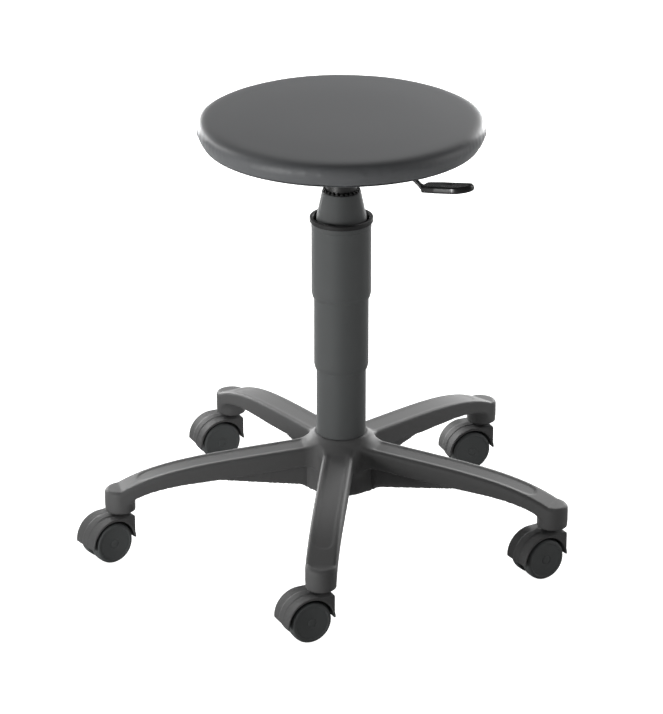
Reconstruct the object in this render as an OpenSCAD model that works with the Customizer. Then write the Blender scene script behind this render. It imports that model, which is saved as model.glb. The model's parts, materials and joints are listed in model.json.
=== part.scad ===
// Adjustable swivel stool on five twin-wheel casters: a round padded seat on a gas lift,
// a three-part telescopic cover round the lift, and a moulded five-leg base.
// Millimetres, +Z up, origin on the floor under the column. The lift is drawn fully out.

/* [Seat] */
// Diameter of the upholstered seat
seat_d = 350; // [320:5:420]
// Height of the seat's crown above the floor with the lift fully out
seat_top_h = 550; // [545:1:620]
// Height of the whole cushion from its underside to its crown
seat_t = 31; // [27:1:45]
// Thickness of the plywood board
board_t = 10; // [8:1:12]
// Thickness of the leatherette cover
cover_t = 1; // [0.8:0.1:1.5]
// Width of the hem that is turned in under the board
hem_w = 35; // [25:1:45]
// Thickness of the cloth over the underside
cloth_t = 0.8; // [0.5:0.1:1]
// Radius of the flat middle of the crown
crown_flat_r = 35; // [20:1:60]
// Number of staples round the hem
staple_count = 16; // [8:1:24]

/* [Seat mounting] */
// Distance from a screw's axis to the square plate's edge
plate_edge = 15; // [12:1:20]
// Thickness of the plate and of the lever bracket
plate_t = 3; // [2.5:0.5:4]
// Distance between the plate's screws
screw_pitch = 100; // [85:1:110]
// Diameter of the plate's screws
screw_d = 6; // [5:1:8]
// Outer diameter of the taper socket
socket_d = 38; // [36:1:42]
// Length of the taper socket
socket_l = 62; // [56:1:66]

/* [Lever] */
// Direction of the lever round the column, seen from above
lever_turn = -32; // [-180:1:180]
// Distance from the taper socket's side to the lever's pivot
pivot_room = 7; // [7:0.5:10]
// Distance from the column's axis to the tip of the handle
lever_reach = 179; // [170:1:200]
// Diameter of the lever's rod
lever_rod_d = 6; // [5:0.5:8]
// Length of the handle
handle_l = 64; // [60:1:80]
// Width of the handle
handle_w = 24; // [20:1:30]
// Plastic above and below the rod in the handle
handle_wall = 1.5; // [1:0.25:2]
// Upward slope of the handle
handle_slope = 9; // [0:1:14]

/* [Gas lift] */
// Stroke of the lift
lift_stroke = 130; // [90:1:130]
// Outer diameter of the pressure cylinder
cylinder_d = 28; // [26:1:30]
// Wall of the pressure cylinder
cylinder_wall = 3; // [2:0.5:4]
// Diameter of the piston rod
rod_d = 10; // [8:1:12]
// Outer diameter of the stand tube
stand_d = 50; // [46:1:50]
// Wall of the stand tube at its top
stand_wall = 3; // [2:0.5:4]
// How deep the drawn-out cylinder still sits in the stand tube
guide_depth = 78; // [60:1:90]
// Radial clearance of every sliding or turning fit
running_gap = 0.06; // [0.03:0.01:0.1]

/* [Telescopic cover] */
// Radial room between the stand tube and the low cover tube
tube_room = 3.5; // [3:0.1:5]
// Wall of each cover tube
tube_wall = 2; // [1.5:0.1:2.2]
// Radial step from one cover tube to the next
tube_step = 3; // [3:0.1:3.2]
// Distance from the taper socket's lower end down to the rim of the top cover tube
rim_drop = 24.2; // [20:0.2:30]
// Length of the top cover tube with its rim
top_tube_l = 103; // [95:1:108]
// Height of the middle cover tube's lower end above the hub
mid_tube_rise = 86; // [80:1:92]
// Radial room between the taper socket and the outside of the cone's upper end
cone_room = 4.65; // [4:0.05:6]

/* [Base] */
// Distance from the column's axis to each caster's axis
leg_r = 279; // [250:1:335]
// Width of a leg
leg_w = 37.5; // [34:0.5:42]
// Wall of the base moulding
leg_wall = 4; // [3:0.5:5]
// Depth of a leg's channel section
leg_depth = 24; // [22:1:28]
// Clearance between a caster's hood and the socket above it
socket_gap = 2.8; // [2.4:0.2:8]
// Height of a leg's top at the hub above the sockets' underside
leg_root_rise = 69; // [66:1:75]
// Turn of the base under the seat, seen from above
base_turn = -5; // [-36:1:36]
// Width of the hub's shoulder outside the low cover tube
hub_shoulder = 10.5; // [8.5:0.5:14]
// Height of the hub's top above the sockets' underside
hub_top_rise = 78; // [75:1:82]
// Height of the hub's underside above the sockets' underside
hub_end_rise = 6; // [4:1:10]

/* [Casters] */
// Diameter of a wheel
wheel_d = 52; // [48:1:60]
// Width of one wheel
wheel_w = 14.5; // [13:0.5:24]
// Gap between the two wheels of a caster
wheel_gap = 10.4; // [10.4:0.2:12]
// Distance from the swivel axis to the axle
caster_trail = 21; // [20.5:0.5:28]
// Gap between a wheel's tread and its hood
hood_gap = 2.8; // [2:0.1:3]
// Wall of the hood
hood_wall = 2.4; // [2.2:0.1:3.5]
// Diameter of the caster's stem in its socket
stem_d = 11; // [10:1:11]
// Direction in which each caster trails, seen from above, starting at the front leg
caster_heading = [206, 211, 202, 206, 216]; // [0:1:360]

/* [Hidden] */
$fn = 64;
e = 0.5;

// Seat heights, from the crown down
seat_r = seat_d / 2;
seat_end_h = seat_top_h - seat_t;
band_mid = seat_t / 2;
band_half = seat_t * 0.28;
board_h = seat_end_h + cover_t;
board_r = seat_r - 9;
hem_r = board_r - hem_w;
cloth_r = hem_r + 18;
staple_r = cloth_r - 8;
plate_h = board_h - cloth_t - plate_t;
plate_w = screw_pitch + 2 * plate_edge;
plate_corner_r = 10;
hole_gap = 0.3;
nut_flange_t = 1;
nut_flange_r = 1.5 * screw_d;
nut_r = screw_d / 2 + 1;
thread_gap = 0.05;
washer_t = 1.6;
head_t = 4;
staple_t = 0.7;
staple_leg_w = 1.2;
staple_half_w = 4.5;
staple_bite = 6;

// The mechanism hangs from the plate
socket_r = socket_d / 2;
socket_h = plate_h - 9 - socket_l;
bracket_gap = socket_r + 1;
bracket_web_h = plate_h - 38;
bracket_back = 24;
bracket_nose = 10;
lever_pivot_x = socket_r + pivot_room;
socket_end_h = socket_h + socket_l;
cylinder_end_h = socket_end_h - 2;
taper_l = 56;
taper_fall = 1.4;
taper_gap = 0.05;
pin_r = 3;
clip_t = 1;
clip_y = bracket_gap + plate_t + 0.1;
clip_rim = 2;
groove_in = 0.6;
pivot_h = plate_h - 8.2;
button_top_h = cylinder_end_h + 4;
button_r = 2.5;
button_l = 14;
button_travel = 3;
arm_gap = 0.3;
arm_w = 8;
arm_t = 4;
eye_wall = 3.5;
handle_t = lever_rod_d + 2 * handle_wall;
lever_bend_1 = [84, plate_h - 16.2];
handle_x = lever_reach - handle_l * cos(handle_slope);
handle_h = plate_h - 35.9;
rod_lead = 3;
lever_bend_2 = [handle_x - rod_lead, handle_h - rod_lead * tan(handle_slope)];
rod_in_handle = 30;

// Heights of the base, from the casters up
leg_end_h = wheel_d + hood_gap + hood_wall + socket_gap;
leg_root_h = leg_end_h + leg_root_rise;
hub_top_h = leg_end_h + hub_top_rise;
hub_end_h = leg_end_h + hub_end_rise;

// The lift, from the floor up
cylinder_r = cylinder_d / 2;
cylinder_bore_r = cylinder_r - cylinder_wall;
guide_l = 12;
seal_l = 5;
rod_r = rod_d / 2;
stand_r = stand_d / 2;
stand_bore_r = stand_r - stand_wall;
stand_h = hub_end_h - 4;
bushing_rim_t = 3;
stand_floor_t = 4;
stand_taper = 1;
race_t = 2;
ball_d = 4;
race_h = stand_h + stand_floor_t;
race_r = rod_r + 7;
upper_race_h = race_h + race_t + ball_d + running_gap;
shoulder_h = upper_race_h + race_t;
bump_stop_t = 12;
bump_room = 5.94;
cylinder_h = shoulder_h + bump_stop_t + bump_room + lift_stroke;
stand_top_h = cylinder_h + guide_depth;
piston_h = cylinder_h + guide_l + seal_l + 5;
piston_t = 12;
rod_end_r = rod_r - 1;
ball_count = 12;
cage_t = 1.2;

// Cover tubes, each inside the one above it
rim_ring_h = 5.5;
rim_cap_t = 2;
rim_lip = 2.3;
rim_edge = 0.8;
low_tube_r = stand_r + tube_room + tube_wall;
mid_tube_r = low_tube_r + tube_step;
top_tube_r = mid_tube_r + tube_step;
fit_r = top_tube_r - tube_wall;
rim_h = socket_h - rim_drop;
top_tube_end_h = rim_h - top_tube_l;
mid_tube_end_h = hub_top_h + mid_tube_rise;
tube_lip_t = 3;
slide_gap = 0.35;
chamfer_h = 6;
chamfer_w = 1.5;
overlap = chamfer_h + 0.5 + tube_lip_t;
cone_top_h = socket_h + 8.8;
cone_end_h = rim_h - 21;
cone_wall = 2;
cone_top_r = socket_r + cone_room;
cone_flare = (fit_r - 0.86 - cone_top_r) / (cone_top_h - cone_end_h);
flange_t = 3;
grip_ring_h = cone_top_h - 7;
tooth_h = 3;
tooth_count = 24;

// Base
hub_r = low_tube_r + hub_shoulder;
leg_turns = [for (i = [0 : 4]) base_turn - 90 + 72 * i];
sleeve_r = stand_r + 3.4;
sleeve_top_h = hub_top_h + 8;
sleeve_wall_r = 7.5;
sleeve_l = 24;
pocket_start = hub_r + 2;
rib_w = 5;
web_w = 12;
web_end = 165;
nose_drop = 20;
leg_fall = 0.07;
cross_rib_w = 2.5;
cross_ribs = [0.32, 0.47, 0.62, 0.77];

// Casters
wheel_r = wheel_d / 2;
wheel_in = wheel_gap / 2;
wheel_out = wheel_in + wheel_w;
hood_in_r = wheel_r + hood_gap;
hood_out_r = hood_in_r + hood_wall;
hood_w = 2 * wheel_out + 1;
web_t = wheel_gap - 0.8;
hood_front = 9;
hood_tip_h = wheel_r + 1;
hood_tail_h = wheel_r - 2;
boss_top_h = leg_end_h - 2;
boss_end_h = leg_end_h - 11;
axle_r = 3;
axle_l = 2 * (wheel_out - 4.7);
tail_r = 2.8;
tail_h = wheel_r + 8;
flange_r = 8.5;
flange_gap = 0.3;
stem_r = stem_d / 2;
collar_r = 5;
groove_h = leg_end_h + 14;
groove_l = 2.5;
groove_depth = 0.9;

// A ring or disc standing on h
module ring(h, t, r, bore = 0) {
    translate([0, 0, h]) difference() {
        cylinder(h = t, r = r);
        if (bore > 0) translate([0, 0, -e]) cylinder(h = t + 2 * e, r = bore);
    }
}

// A round bar from point a to point b
module bar(a, b, r) {
    d = b - a;
    translate(a)
        rotate([0, acos(d[2] / norm(d)), atan2(d[1], d[0])]) cylinder(h = norm(d), r = r);
}

// Places its children at each of the plate's four screws
module at_screws() {
    for (sx = [-1, 1]) for (sy = [-1, 1])
        rotate([0, 0, lever_turn]) translate([sx * screw_pitch / 2, sy * screw_pitch / 2, 0])
            children();
}

// The cushion's outline from its underside to its crown, set in by s
function cushion_side(s) = [
    [board_r + 0.5 * s, seat_end_h + s],
    [seat_r - 5.5 - s, seat_end_h + 2],
    for (a = [-60 : 20 : 60])
        [seat_r - s - 6 * (1 - cos(a)), seat_end_h + band_mid + band_half * sin(a)],
    [seat_r - 6.5 - s, seat_top_h - 5.7 - 0.8 * s],
    for (x = [0.93, 0.8, 0.6, 0.4]) [seat_r * x - s, seat_top_h - 5.6 * pow(x, 3) - s],
    [crown_flat_r, seat_top_h - s]];

module staple_legs() {
    for (i = [0 : staple_count - 1]) rotate([0, 0, i * 360 / staple_count])
        for (side = [-1, 1])
            translate([staple_r - staple_t / 2, side * staple_half_w - staple_leg_w / 2,
                seat_end_h - cloth_t - e])
                cube([staple_t, staple_leg_w, cloth_t + cover_t + staple_bite + e]);
}

module seat_cover() {
    outer = cushion_side(0);
    inner = cushion_side(cover_t);
    back = [for (i = [len(inner) - 1 : -1 : 0]) inner[i]];
    color("dimgray") difference() {
        rotate_extrude() polygon(concat([[hem_r, board_h], [hem_r, seat_end_h]], outer,
            [[0, seat_top_h], [0, seat_top_h - cover_t]], back));
        staple_legs();
    }
}

module seat_foam() {
    top_h = board_h + board_t;
    color("khaki") rotate_extrude() polygon(concat([[0, top_h], [board_r, top_h],
        [board_r, board_h]], cushion_side(cover_t), [[0, seat_top_h - cover_t]]));
}

module seat_board() {
    color("burlywood") difference() {
        ring(board_h, board_t, board_r);
        at_screws() ring(board_h - e, board_t + 2 * e, nut_r);
        at_screws() ring(board_h + board_t - nut_flange_t, nut_flange_t + e, nut_flange_r);
        staple_legs();
    }
}

module tee_nuts() {
    top_h = board_h + board_t;
    color("silver") at_screws() difference() {
        union() {
            ring(board_h + 1, board_t - 1, nut_r);
            ring(top_h - nut_flange_t, nut_flange_t, nut_flange_r);
        }
        ring(board_h, board_t + e, screw_d / 2 + thread_gap);
    }
}

module underside_cloth() {
    low_h = seat_end_h - cloth_t;
    color("black") difference() {
        rotate_extrude() polygon([[0, board_h - cloth_t], [hem_r - 3, board_h - cloth_t],
            [hem_r - 1, low_h], [cloth_r, low_h], [cloth_r, seat_end_h], [hem_r - 0.2, seat_end_h],
            [hem_r - 1.2, board_h], [0, board_h]]);
        at_screws() ring(low_h, 2 * cloth_t + cover_t, screw_d / 2 + hole_gap);
        staple_legs();
    }
}

module staples() {
    low_h = seat_end_h - cloth_t;
    color("silver") for (i = [0 : staple_count - 1]) rotate([0, 0, i * 360 / staple_count]) {
        half_w = staple_half_w + staple_leg_w / 2;
        translate([staple_r - staple_t / 2, -half_w, low_h - staple_t])
            cube([staple_t, 2 * half_w, staple_t]);
        for (side = [-1, 1])
            translate([staple_r - staple_t / 2, side * staple_half_w - staple_leg_w / 2,
                low_h - staple_t])
                cube([staple_t, staple_leg_w, staple_t + cloth_t + cover_t + staple_bite]);
    }
}

module mounting_plate() {
    flat_w = plate_w - 2 * plate_corner_r;
    color("dimgray") difference() {
        rotate([0, 0, lever_turn]) translate([0, 0, plate_h]) linear_extrude(plate_t) {
            square([plate_w, flat_w], center = true);
            square([flat_w, plate_w], center = true);
            for (sx = [-1, 1]) for (sy = [-1, 1])
                translate([sx * flat_w / 2, sy * flat_w / 2]) circle(r = plate_corner_r);
        }
        at_screws() ring(plate_h - e, plate_t + 2 * e, screw_d / 2 + hole_gap);
    }
}

module plate_screws() {
    color("silver") at_screws() {
        translate([0, 0, plate_h - washer_t - head_t])
            cylinder(h = head_t, d = screw_d * 1.67 / cos(30), $fn = 6);
        ring(plate_h - washer_t, washer_t + plate_t + cloth_t + board_t, screw_d / 2);
    }
}

module plate_washers() {
    color("silver") at_screws() ring(plate_h - washer_t, washer_t, screw_d, screw_d / 2 + hole_gap);
}

module taper_socket() {
    low_l = socket_l - taper_l + 2;
    color("slategray") difference() {
        ring(socket_h, socket_l, socket_r);
        ring(socket_h - e, low_l + e, cylinder_r + taper_gap);
        translate([0, 0, socket_h + low_l - 0.01])
            cylinder(h = taper_l - 1.9, r1 = cylinder_r + taper_gap,
                r2 = cylinder_r + taper_gap - taper_fall * (taper_l - 1.9) / taper_l);
    }
}

module lever_bracket() {
    tall = plate_h - bracket_web_h;
    cheek_l = lever_pivot_x + bracket_back + bracket_nose;
    color("dimgray") rotate([0, 0, lever_turn]) difference() {
        union() {
            for (side = [0, 1]) mirror([0, side, 0])
                translate([-bracket_back, bracket_gap, bracket_web_h])
                    cube([cheek_l, plate_t, tall]);
            translate([-bracket_back, -bracket_gap - e, bracket_web_h])
                cube([2 * bracket_back, 2 * (bracket_gap + e), plate_t]);
        }
        ring(bracket_web_h - e, plate_t + 2 * e, socket_r);
        translate([lever_pivot_x, 0, pivot_h]) rotate([90, 0, 0])
            cylinder(h = 4 * bracket_gap, r = pin_r, center = true);
    }
}

// Anything turned on the lever pin's axis, centred on the column's side plane
module on_pin(l, r) {
    rotate([0, 0, lever_turn]) translate([lever_pivot_x, 0, pivot_h]) rotate([90, 0, 0])
        cylinder(h = l, r = r, center = true);
}

// The pair of rings outside the bracket's cheeks, out to radius r
module clip_rings(r) {
    difference() {
        on_pin(2 * (clip_y + clip_t), r);
        on_pin(2 * clip_y, r + e);
        on_pin(4 * clip_y, pin_r - groove_in);
    }
}

module lever_pin() {
    color("silver") difference() {
        on_pin(2 * (clip_y + clip_t + clip_rim), pin_r);
        clip_rings(pin_r + e);
    }
}

module pin_clips() {
    color("silver") clip_rings(pin_r + clip_rim);
}

module lever_rod() {
    reach = lever_bend_2 + rod_in_handle * [cos(handle_slope), sin(handle_slope)];
    path = [[lever_pivot_x, pivot_h], lever_bend_1, lever_bend_2, reach];
    points = [for (p = path) [p[0], 0, p[1]]];
    arm_h = button_top_h + arm_gap;
    color("silver") difference() {
        union() {
            on_pin(2 * arm_w, pin_r + eye_wall);
            rotate([0, 0, lever_turn]) {
                translate([-arm_t, -arm_w / 2, arm_h])
                    cube([lever_pivot_x + arm_t, arm_w, arm_t]);
                for (i = [0 : 2]) bar(points[i], points[i + 1], lever_rod_d / 2);
                for (i = [1, 2]) translate(points[i]) sphere(d = lever_rod_d + 0.2);
            }
        }
        on_pin(3 * arm_w, pin_r + running_gap);
    }
}

module lever_handle() {
    tip_r = handle_w / 2;
    inset = 3 / cos(handle_slope);
    color("black") rotate([0, 0, lever_turn]) translate([handle_x, 0, handle_h])
        rotate([0, -handle_slope, 0]) difference() {
            translate([0, 0, -handle_t / 2]) linear_extrude(handle_t) {
                translate([0, -tip_r * 0.8]) square([tip_r, tip_r * 1.6]);
                translate([4, -tip_r]) square([handle_l - tip_r - 4, 2 * tip_r]);
                translate([handle_l - tip_r, 0]) circle(r = tip_r);
            }
            rotate([0, 90, 0]) translate([0, 0, -e])
                cylinder(h = rod_in_handle - inset + 1 + e, r = lever_rod_d / 2 + 0.02);
        }
}

module release_pin() {
    color("white") ring(cylinder_end_h - button_l, button_l + button_top_h - cylinder_end_h,
        button_r);
}

module gas_cylinder() {
    cone_h = cylinder_end_h - taper_l;
    color("silver") difference() {
        union() {
            ring(cylinder_h, cone_h - cylinder_h, cylinder_r);
            translate([0, 0, cone_h])
                cylinder(h = taper_l, r1 = cylinder_r, r2 = cylinder_r - taper_fall);
        }
        ring(cylinder_h - e, cone_h + 20 - cylinder_h, cylinder_bore_r);
        ring(cylinder_end_h - button_l - button_travel, button_l + button_travel + e,
            button_r + running_gap);
    }
}

module rod_guide() {
    color("gold") ring(cylinder_h, guide_l, cylinder_bore_r, rod_r + running_gap);
}

module rod_seal() {
    color("black") ring(cylinder_h + guide_l, seal_l, cylinder_bore_r, rod_r + running_gap);
}

module piston_rod() {
    rod_tip_h = stand_h - 6;
    color("silver") {
        ring(shoulder_h, piston_h + piston_t - shoulder_h, rod_r);
        ring(rod_tip_h, shoulder_h - rod_tip_h, rod_end_r);
    }
}

module piston() {
    color("gold") ring(piston_h, piston_t, cylinder_bore_r - running_gap, rod_r);
}

module bearing_upper_race() {
    color("silver") ring(upper_race_h, race_t, race_r, rod_end_r);
}

module bearing_lower_race() {
    color("silver") ring(race_h, race_t, race_r, rod_end_r + 1);
}

// The balls run in a thin cage and turn with the rod
module bearing_balls() {
    pitch_r = rod_r + 3.6;
    mid_h = race_h + race_t + running_gap + ball_d / 2;
    color("goldenrod") {
        difference() {
            ring(mid_h - cage_t / 2, cage_t, race_r - 0.5, rod_end_r + 1);
            for (i = [1 : ball_count]) rotate([0, 0, 360 / ball_count * i])
                translate([pitch_r, 0, mid_h])
                    cylinder(h = ball_d, r = ball_d / 2 - 0.15, center = true);
        }
        for (i = [1 : ball_count]) rotate([0, 0, 360 / ball_count * i])
            translate([pitch_r, 0, mid_h]) sphere(d = ball_d - 0.01);
    }
}

module bump_stop() {
    color("black") ring(shoulder_h, bump_stop_t, rod_r + 6, rod_r);
}

module rod_clip() {
    color("silver") ring(stand_h - 2.5, 2.3, rod_end_r + 4, rod_end_r);
}

// The stand tube's lower end is a taper that wedges in the hub sleeve
module stand_tube() {
    hub_l = sleeve_top_h - stand_h;
    color("dimgray") difference() {
        union() {
            translate([0, 0, stand_h]) cylinder(h = hub_l, r1 = stand_r - stand_taper, r2 = stand_r);
            ring(sleeve_top_h, stand_top_h - sleeve_top_h, stand_r);
        }
        ring(race_h, stand_top_h, stand_bore_r);
        ring(stand_h - e, stand_floor_t + 2 * e, rod_end_r + running_gap);
    }
}

module guide_bushing() {
    color("white") difference() {
        union() {
            ring(cylinder_h, stand_top_h - cylinder_h, stand_bore_r);
            ring(stand_top_h, bushing_rim_t, stand_r - 0.5);
        }
        ring(cylinder_h - e, stand_top_h, cylinder_r + running_gap);
    }
}

module hub_sleeve() {
    hub_l = sleeve_top_h - stand_h;
    color("gray") difference() {
        ring(hub_end_h, sleeve_top_h - hub_end_h, sleeve_r);
        translate([0, 0, stand_h])
            cylinder(h = hub_l, r1 = stand_r - stand_taper, r2 = stand_r);
        translate([0, 0, sleeve_top_h - 0.01]) cylinder(h = 1, r = stand_r);
    }
}

function cone_r(h) = cone_top_r + cone_flare * (cone_top_h - h);

module cover_cone() {
    flange_h = cone_end_h + flange_t;
    color("dimgray") rotate_extrude() polygon([[cone_top_r, cone_top_h],
        [cone_r(flange_h), flange_h], [fit_r, flange_h], [fit_r, cone_end_h],
        [cone_r(cone_end_h) - cone_wall, cone_end_h], [cone_top_r - cone_wall, cone_top_h]]);
}

module cone_grip_ring() {
    tooth_top_h = cone_top_h + tooth_h;
    bore_r = cone_top_r - cone_wall;
    color("black") difference() {
        rotate_extrude() polygon([[socket_r, grip_ring_h],
            [cone_r(grip_ring_h) - cone_wall, grip_ring_h], [bore_r, cone_top_h],
            [bore_r + 1, cone_top_h], [bore_r + 1, tooth_top_h - 1], [bore_r, tooth_top_h],
            [socket_r, tooth_top_h]]);
        for (i = [0 : tooth_count - 1]) rotate([0, 0, i * 360 / tooth_count])
            translate([socket_r + 0.8, -0.8, cone_top_h + 0.8]) cube([6, 1.6, 6]);
    }
}

module rim_ring() {
    out_r = top_tube_r + rim_lip;
    low_h = rim_h - rim_ring_h;
    color("black") rotate_extrude() polygon([[fit_r, rim_h - rim_cap_t],
        [top_tube_r, rim_h - rim_cap_t], [top_tube_r, low_h], [out_r - rim_edge, low_h],
        [out_r, low_h + rim_edge], [out_r, rim_h - rim_edge], [out_r - rim_edge, rim_h],
        [fit_r + rim_edge, rim_h], [fit_r, rim_h - rim_edge]]);
}

// One cover tube: a chamfered lower end with a lip that guides on the next tube's radius
// guide_r, and, unless top_lip is 0, an outward lip of that radius at its upper end
module cover_tube(end_h, top_h, r, guide_r, top_lip) {
    in_r = r - tube_wall;
    color("dimgray") rotate_extrude() polygon(concat(
        [[guide_r, end_h], [r - chamfer_w, end_h], [r, end_h + chamfer_h]],
        top_lip > 0 ? [[r, top_h - tube_lip_t], [top_lip, top_h - tube_lip_t], [top_lip, top_h]]
            : [[r, top_h]],
        [[in_r, top_h], [in_r, end_h + chamfer_h], [guide_r, end_h + tube_lip_t]]));
}

module cover_top_tube() {
    cover_tube(top_tube_end_h, rim_h - rim_cap_t, top_tube_r, mid_tube_r + slide_gap, 0);
}

module cover_mid_tube() {
    cover_tube(mid_tube_end_h, top_tube_end_h + overlap, mid_tube_r, low_tube_r + slide_gap,
        fit_r - slide_gap);
}

module cover_low_tube() {
    top_h = mid_tube_end_h + overlap;
    in_r = low_tube_r - tube_wall;
    lip_r = mid_tube_r - tube_wall - slide_gap;
    color("dimgray") rotate_extrude() polygon([[in_r, hub_top_h], [low_tube_r, hub_top_h],
        [low_tube_r, top_h - tube_lip_t], [lip_r, top_h - tube_lip_t], [lip_r, top_h],
        [in_r, top_h]]);
}

// Height of the top of a leg at distance x from the column's axis
function leg_top(x) = leg_root_h - leg_fall * x - nose_drop * pow(x / leg_r, 6);

leg_steps = [for (i = [0 : 8]) hub_r - 10 + (leg_r - hub_r + 10) * i / 8];

// Side view of a leg between its top, set down by s, and the height that low(x) gives
module leg_side(s, drop, start, end) {
    inside = [for (x = leg_steps) if (x > start && x < end) x];
    xs = concat([start], inside, [end]);
    polygon(concat([for (x = xs) [x, leg_top(x) - s]],
        [for (i = [len(xs) - 1 : -1 : 0]) [xs[i], leg_top(xs[i]) - drop]]));
}

// Stands a side view up along +X, w wide
module upright(w) {
    rotate([90, 0, 0]) linear_extrude(w, center = true) children();
}

module leg() {
    nose_h = leg_top(leg_r);
    difference() {
        union() {
            upright(leg_w) leg_side(0, leg_depth, 20, leg_r);
            translate([leg_r, 0, leg_end_h]) cylinder(h = nose_h - leg_end_h, d = leg_w);
            upright(web_w) polygon([[20, leg_top(20) - leg_wall],
                [web_end, leg_top(web_end) - leg_wall], [web_end, leg_top(web_end) - leg_depth],
                [hub_r, hub_end_h + 4], [20, hub_end_h + 2]]);
        }
        for (side = [0, 1]) mirror([0, side, 0])
            translate([0, rib_w / 2 + (leg_w - rib_w) / 4 - leg_wall / 2, 0])
                upright((leg_w - rib_w) / 2 - leg_wall) difference() {
                    leg_side(leg_wall, leg_root_h, pocket_start, leg_r - leg_w / 2 - 2);
                    for (x = cross_ribs)
                        translate([x * leg_r, 0]) square([cross_rib_w, leg_root_h]);
                }
    }
}

module star_base() {
    color("dimgray") difference() {
        union() {
            rotate_extrude() polygon([[0, hub_end_h], [hub_r - 3, hub_end_h],
                [hub_r, hub_end_h + 3], [hub_r, leg_root_h - 8], [hub_r - 2, leg_root_h - 2],
                [low_tube_r + 4, hub_top_h - 3], [low_tube_r + 2, hub_top_h], [0, hub_top_h]]);
            for (turn = leg_turns) rotate([0, 0, turn]) leg();
        }
        ring(hub_end_h - 4, hub_top_h, sleeve_r);
        for (turn = leg_turns) rotate([0, 0, turn]) translate([leg_r, 0, 0])
            ring(leg_end_h - e, sleeve_l + e, sleeve_wall_r);
    }
}

// Places its children on each caster's swivel axis
module at_casters() {
    for (turn = leg_turns) rotate([0, 0, turn]) translate([leg_r, 0, 0]) children();
}

module socket_sleeves() {
    color("silver") at_casters() ring(leg_end_h, sleeve_l, sleeve_wall_r, stem_r + thread_gap);
}

module caster_stems() {
    flange_h = boss_top_h + flange_gap;
    color("silver") at_casters() difference() {
        union() {
            ring(tail_h, boss_end_h - tail_h + 1, tail_r);
            ring(boss_end_h + flange_gap, flange_h - boss_end_h, collar_r);
            ring(flange_h, leg_end_h - flange_h, flange_r);
            ring(leg_end_h, sleeve_l - 2, stem_r);
        }
        ring(groove_h, groove_l, stem_r + e, stem_r - groove_depth);
    }
}

module grip_rings() {
    color("gray") at_casters() ring(groove_h, groove_l, stem_r, stem_r - groove_depth);
}

// Places its children on caster i, with +X the way it trails
module on_caster(i) {
    turn = leg_turns[i - 1];
    translate([leg_r * cos(turn), leg_r * sin(turn), 0])
        rotate([0, 0, caster_heading[i - 1]]) children();
}

// The hood's outline from the side, its front dropping straight down from the boss
module hood_outline() {
    translate([caster_trail, wheel_r]) circle(r = hood_out_r);
    translate([-hood_front, hood_tip_h])
        square([caster_trail + hood_front, wheel_r + hood_out_r - hood_tip_h]);
}

module hood_side() {
    difference() {
        hood_outline();
        translate([caster_trail, wheel_r]) circle(r = hood_in_r);
        translate([-hood_out_r, -e]) square([caster_trail + hood_out_r, hood_tip_h + e]);
        translate([0, -hood_out_r]) square([3 * hood_out_r, hood_tail_h + hood_out_r]);
    }
}

// The hood: a shell over both wheels and a web between them that holds stem and axle
module hood(i) {
    boss_h = wheel_r + hood_out_r - 1;
    color("dimgray") on_caster(i) difference() {
        union() {
            upright(hood_w) hood_side();
            upright(web_t) intersection() {
                hood_outline();
                union() {
                    translate([caster_trail, wheel_r]) circle(r = 10);
                    translate([-hood_front, hood_tip_h]) square([3 * hood_out_r, hood_out_r]);
                }
            }
            ring(boss_h, boss_top_h - boss_h, hood_front);
        }
        ring(tail_h - 1, boss_top_h, tail_r + running_gap);
        ring(boss_end_h, boss_top_h, collar_r + running_gap);
        translate([caster_trail, 0, wheel_r]) rotate([90, 0, 0])
            cylinder(h = 2 * hood_w, r = axle_r, center = true);
    }
}

module axle(i) {
    color("silver") on_caster(i) translate([caster_trail, 0, wheel_r]) rotate([90, 0, 0])
        cylinder(h = axle_l, r = axle_r, center = true);
}

// A wheel is a deep cup: a tread, a closed outer face and a hub on the axle
module wheel(i, side) {
    depth = wheel_w - 4;
    color("#333333") on_caster(i) translate([caster_trail, 0, wheel_r]) rotate([-90 * side, 0, 0])
        translate([0, 0, wheel_in]) rotate_extrude() polygon([
            [axle_r + running_gap, 0], [7, 0], [8, depth], [wheel_r - 5, depth], [wheel_r - 4, 0],
            [wheel_r - 1, 0], [wheel_r, 1], [wheel_r, wheel_w - 2], [wheel_r - 2, wheel_w],
            [wheel_r - 6, wheel_w], [wheel_r - 7, wheel_w - 0.8], [0, wheel_w - 0.8],
            [0, axle_l / 2 - wheel_in + 0.3], [axle_r + running_gap, axle_l / 2 - wheel_in + 0.3]]);
}

seat_cover();
seat_foam();
seat_board();
tee_nuts();
underside_cloth();
staples();
mounting_plate();
plate_screws();
plate_washers();
taper_socket();
lever_bracket();
lever_pin();
pin_clips();
lever_rod();
lever_handle();
release_pin();
gas_cylinder();
rod_guide();
rod_seal();
piston_rod();
piston();
bearing_upper_race();
bearing_balls();
bearing_lower_race();
bump_stop();
rod_clip();
stand_tube();
guide_bushing();
hub_sleeve();
cover_cone();
cone_grip_ring();
rim_ring();
cover_top_tube();
cover_mid_tube();
cover_low_tube();
star_base();
socket_sleeves();
caster_stems();
grip_rings();
for (i = [1 : 5]) {
    hood(i);
    axle(i);
    wheel(i, 1);
    wheel(i, -1);
}
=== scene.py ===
"""Adjustable swivel stool: the visible pieces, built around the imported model, in metres."""
import json
import math

import bmesh
import bpy
import numpy as np
from bpy.props import FloatProperty, FloatVectorProperty, IntProperty, PointerProperty
from mathutils import Matrix, Vector, noise


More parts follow.
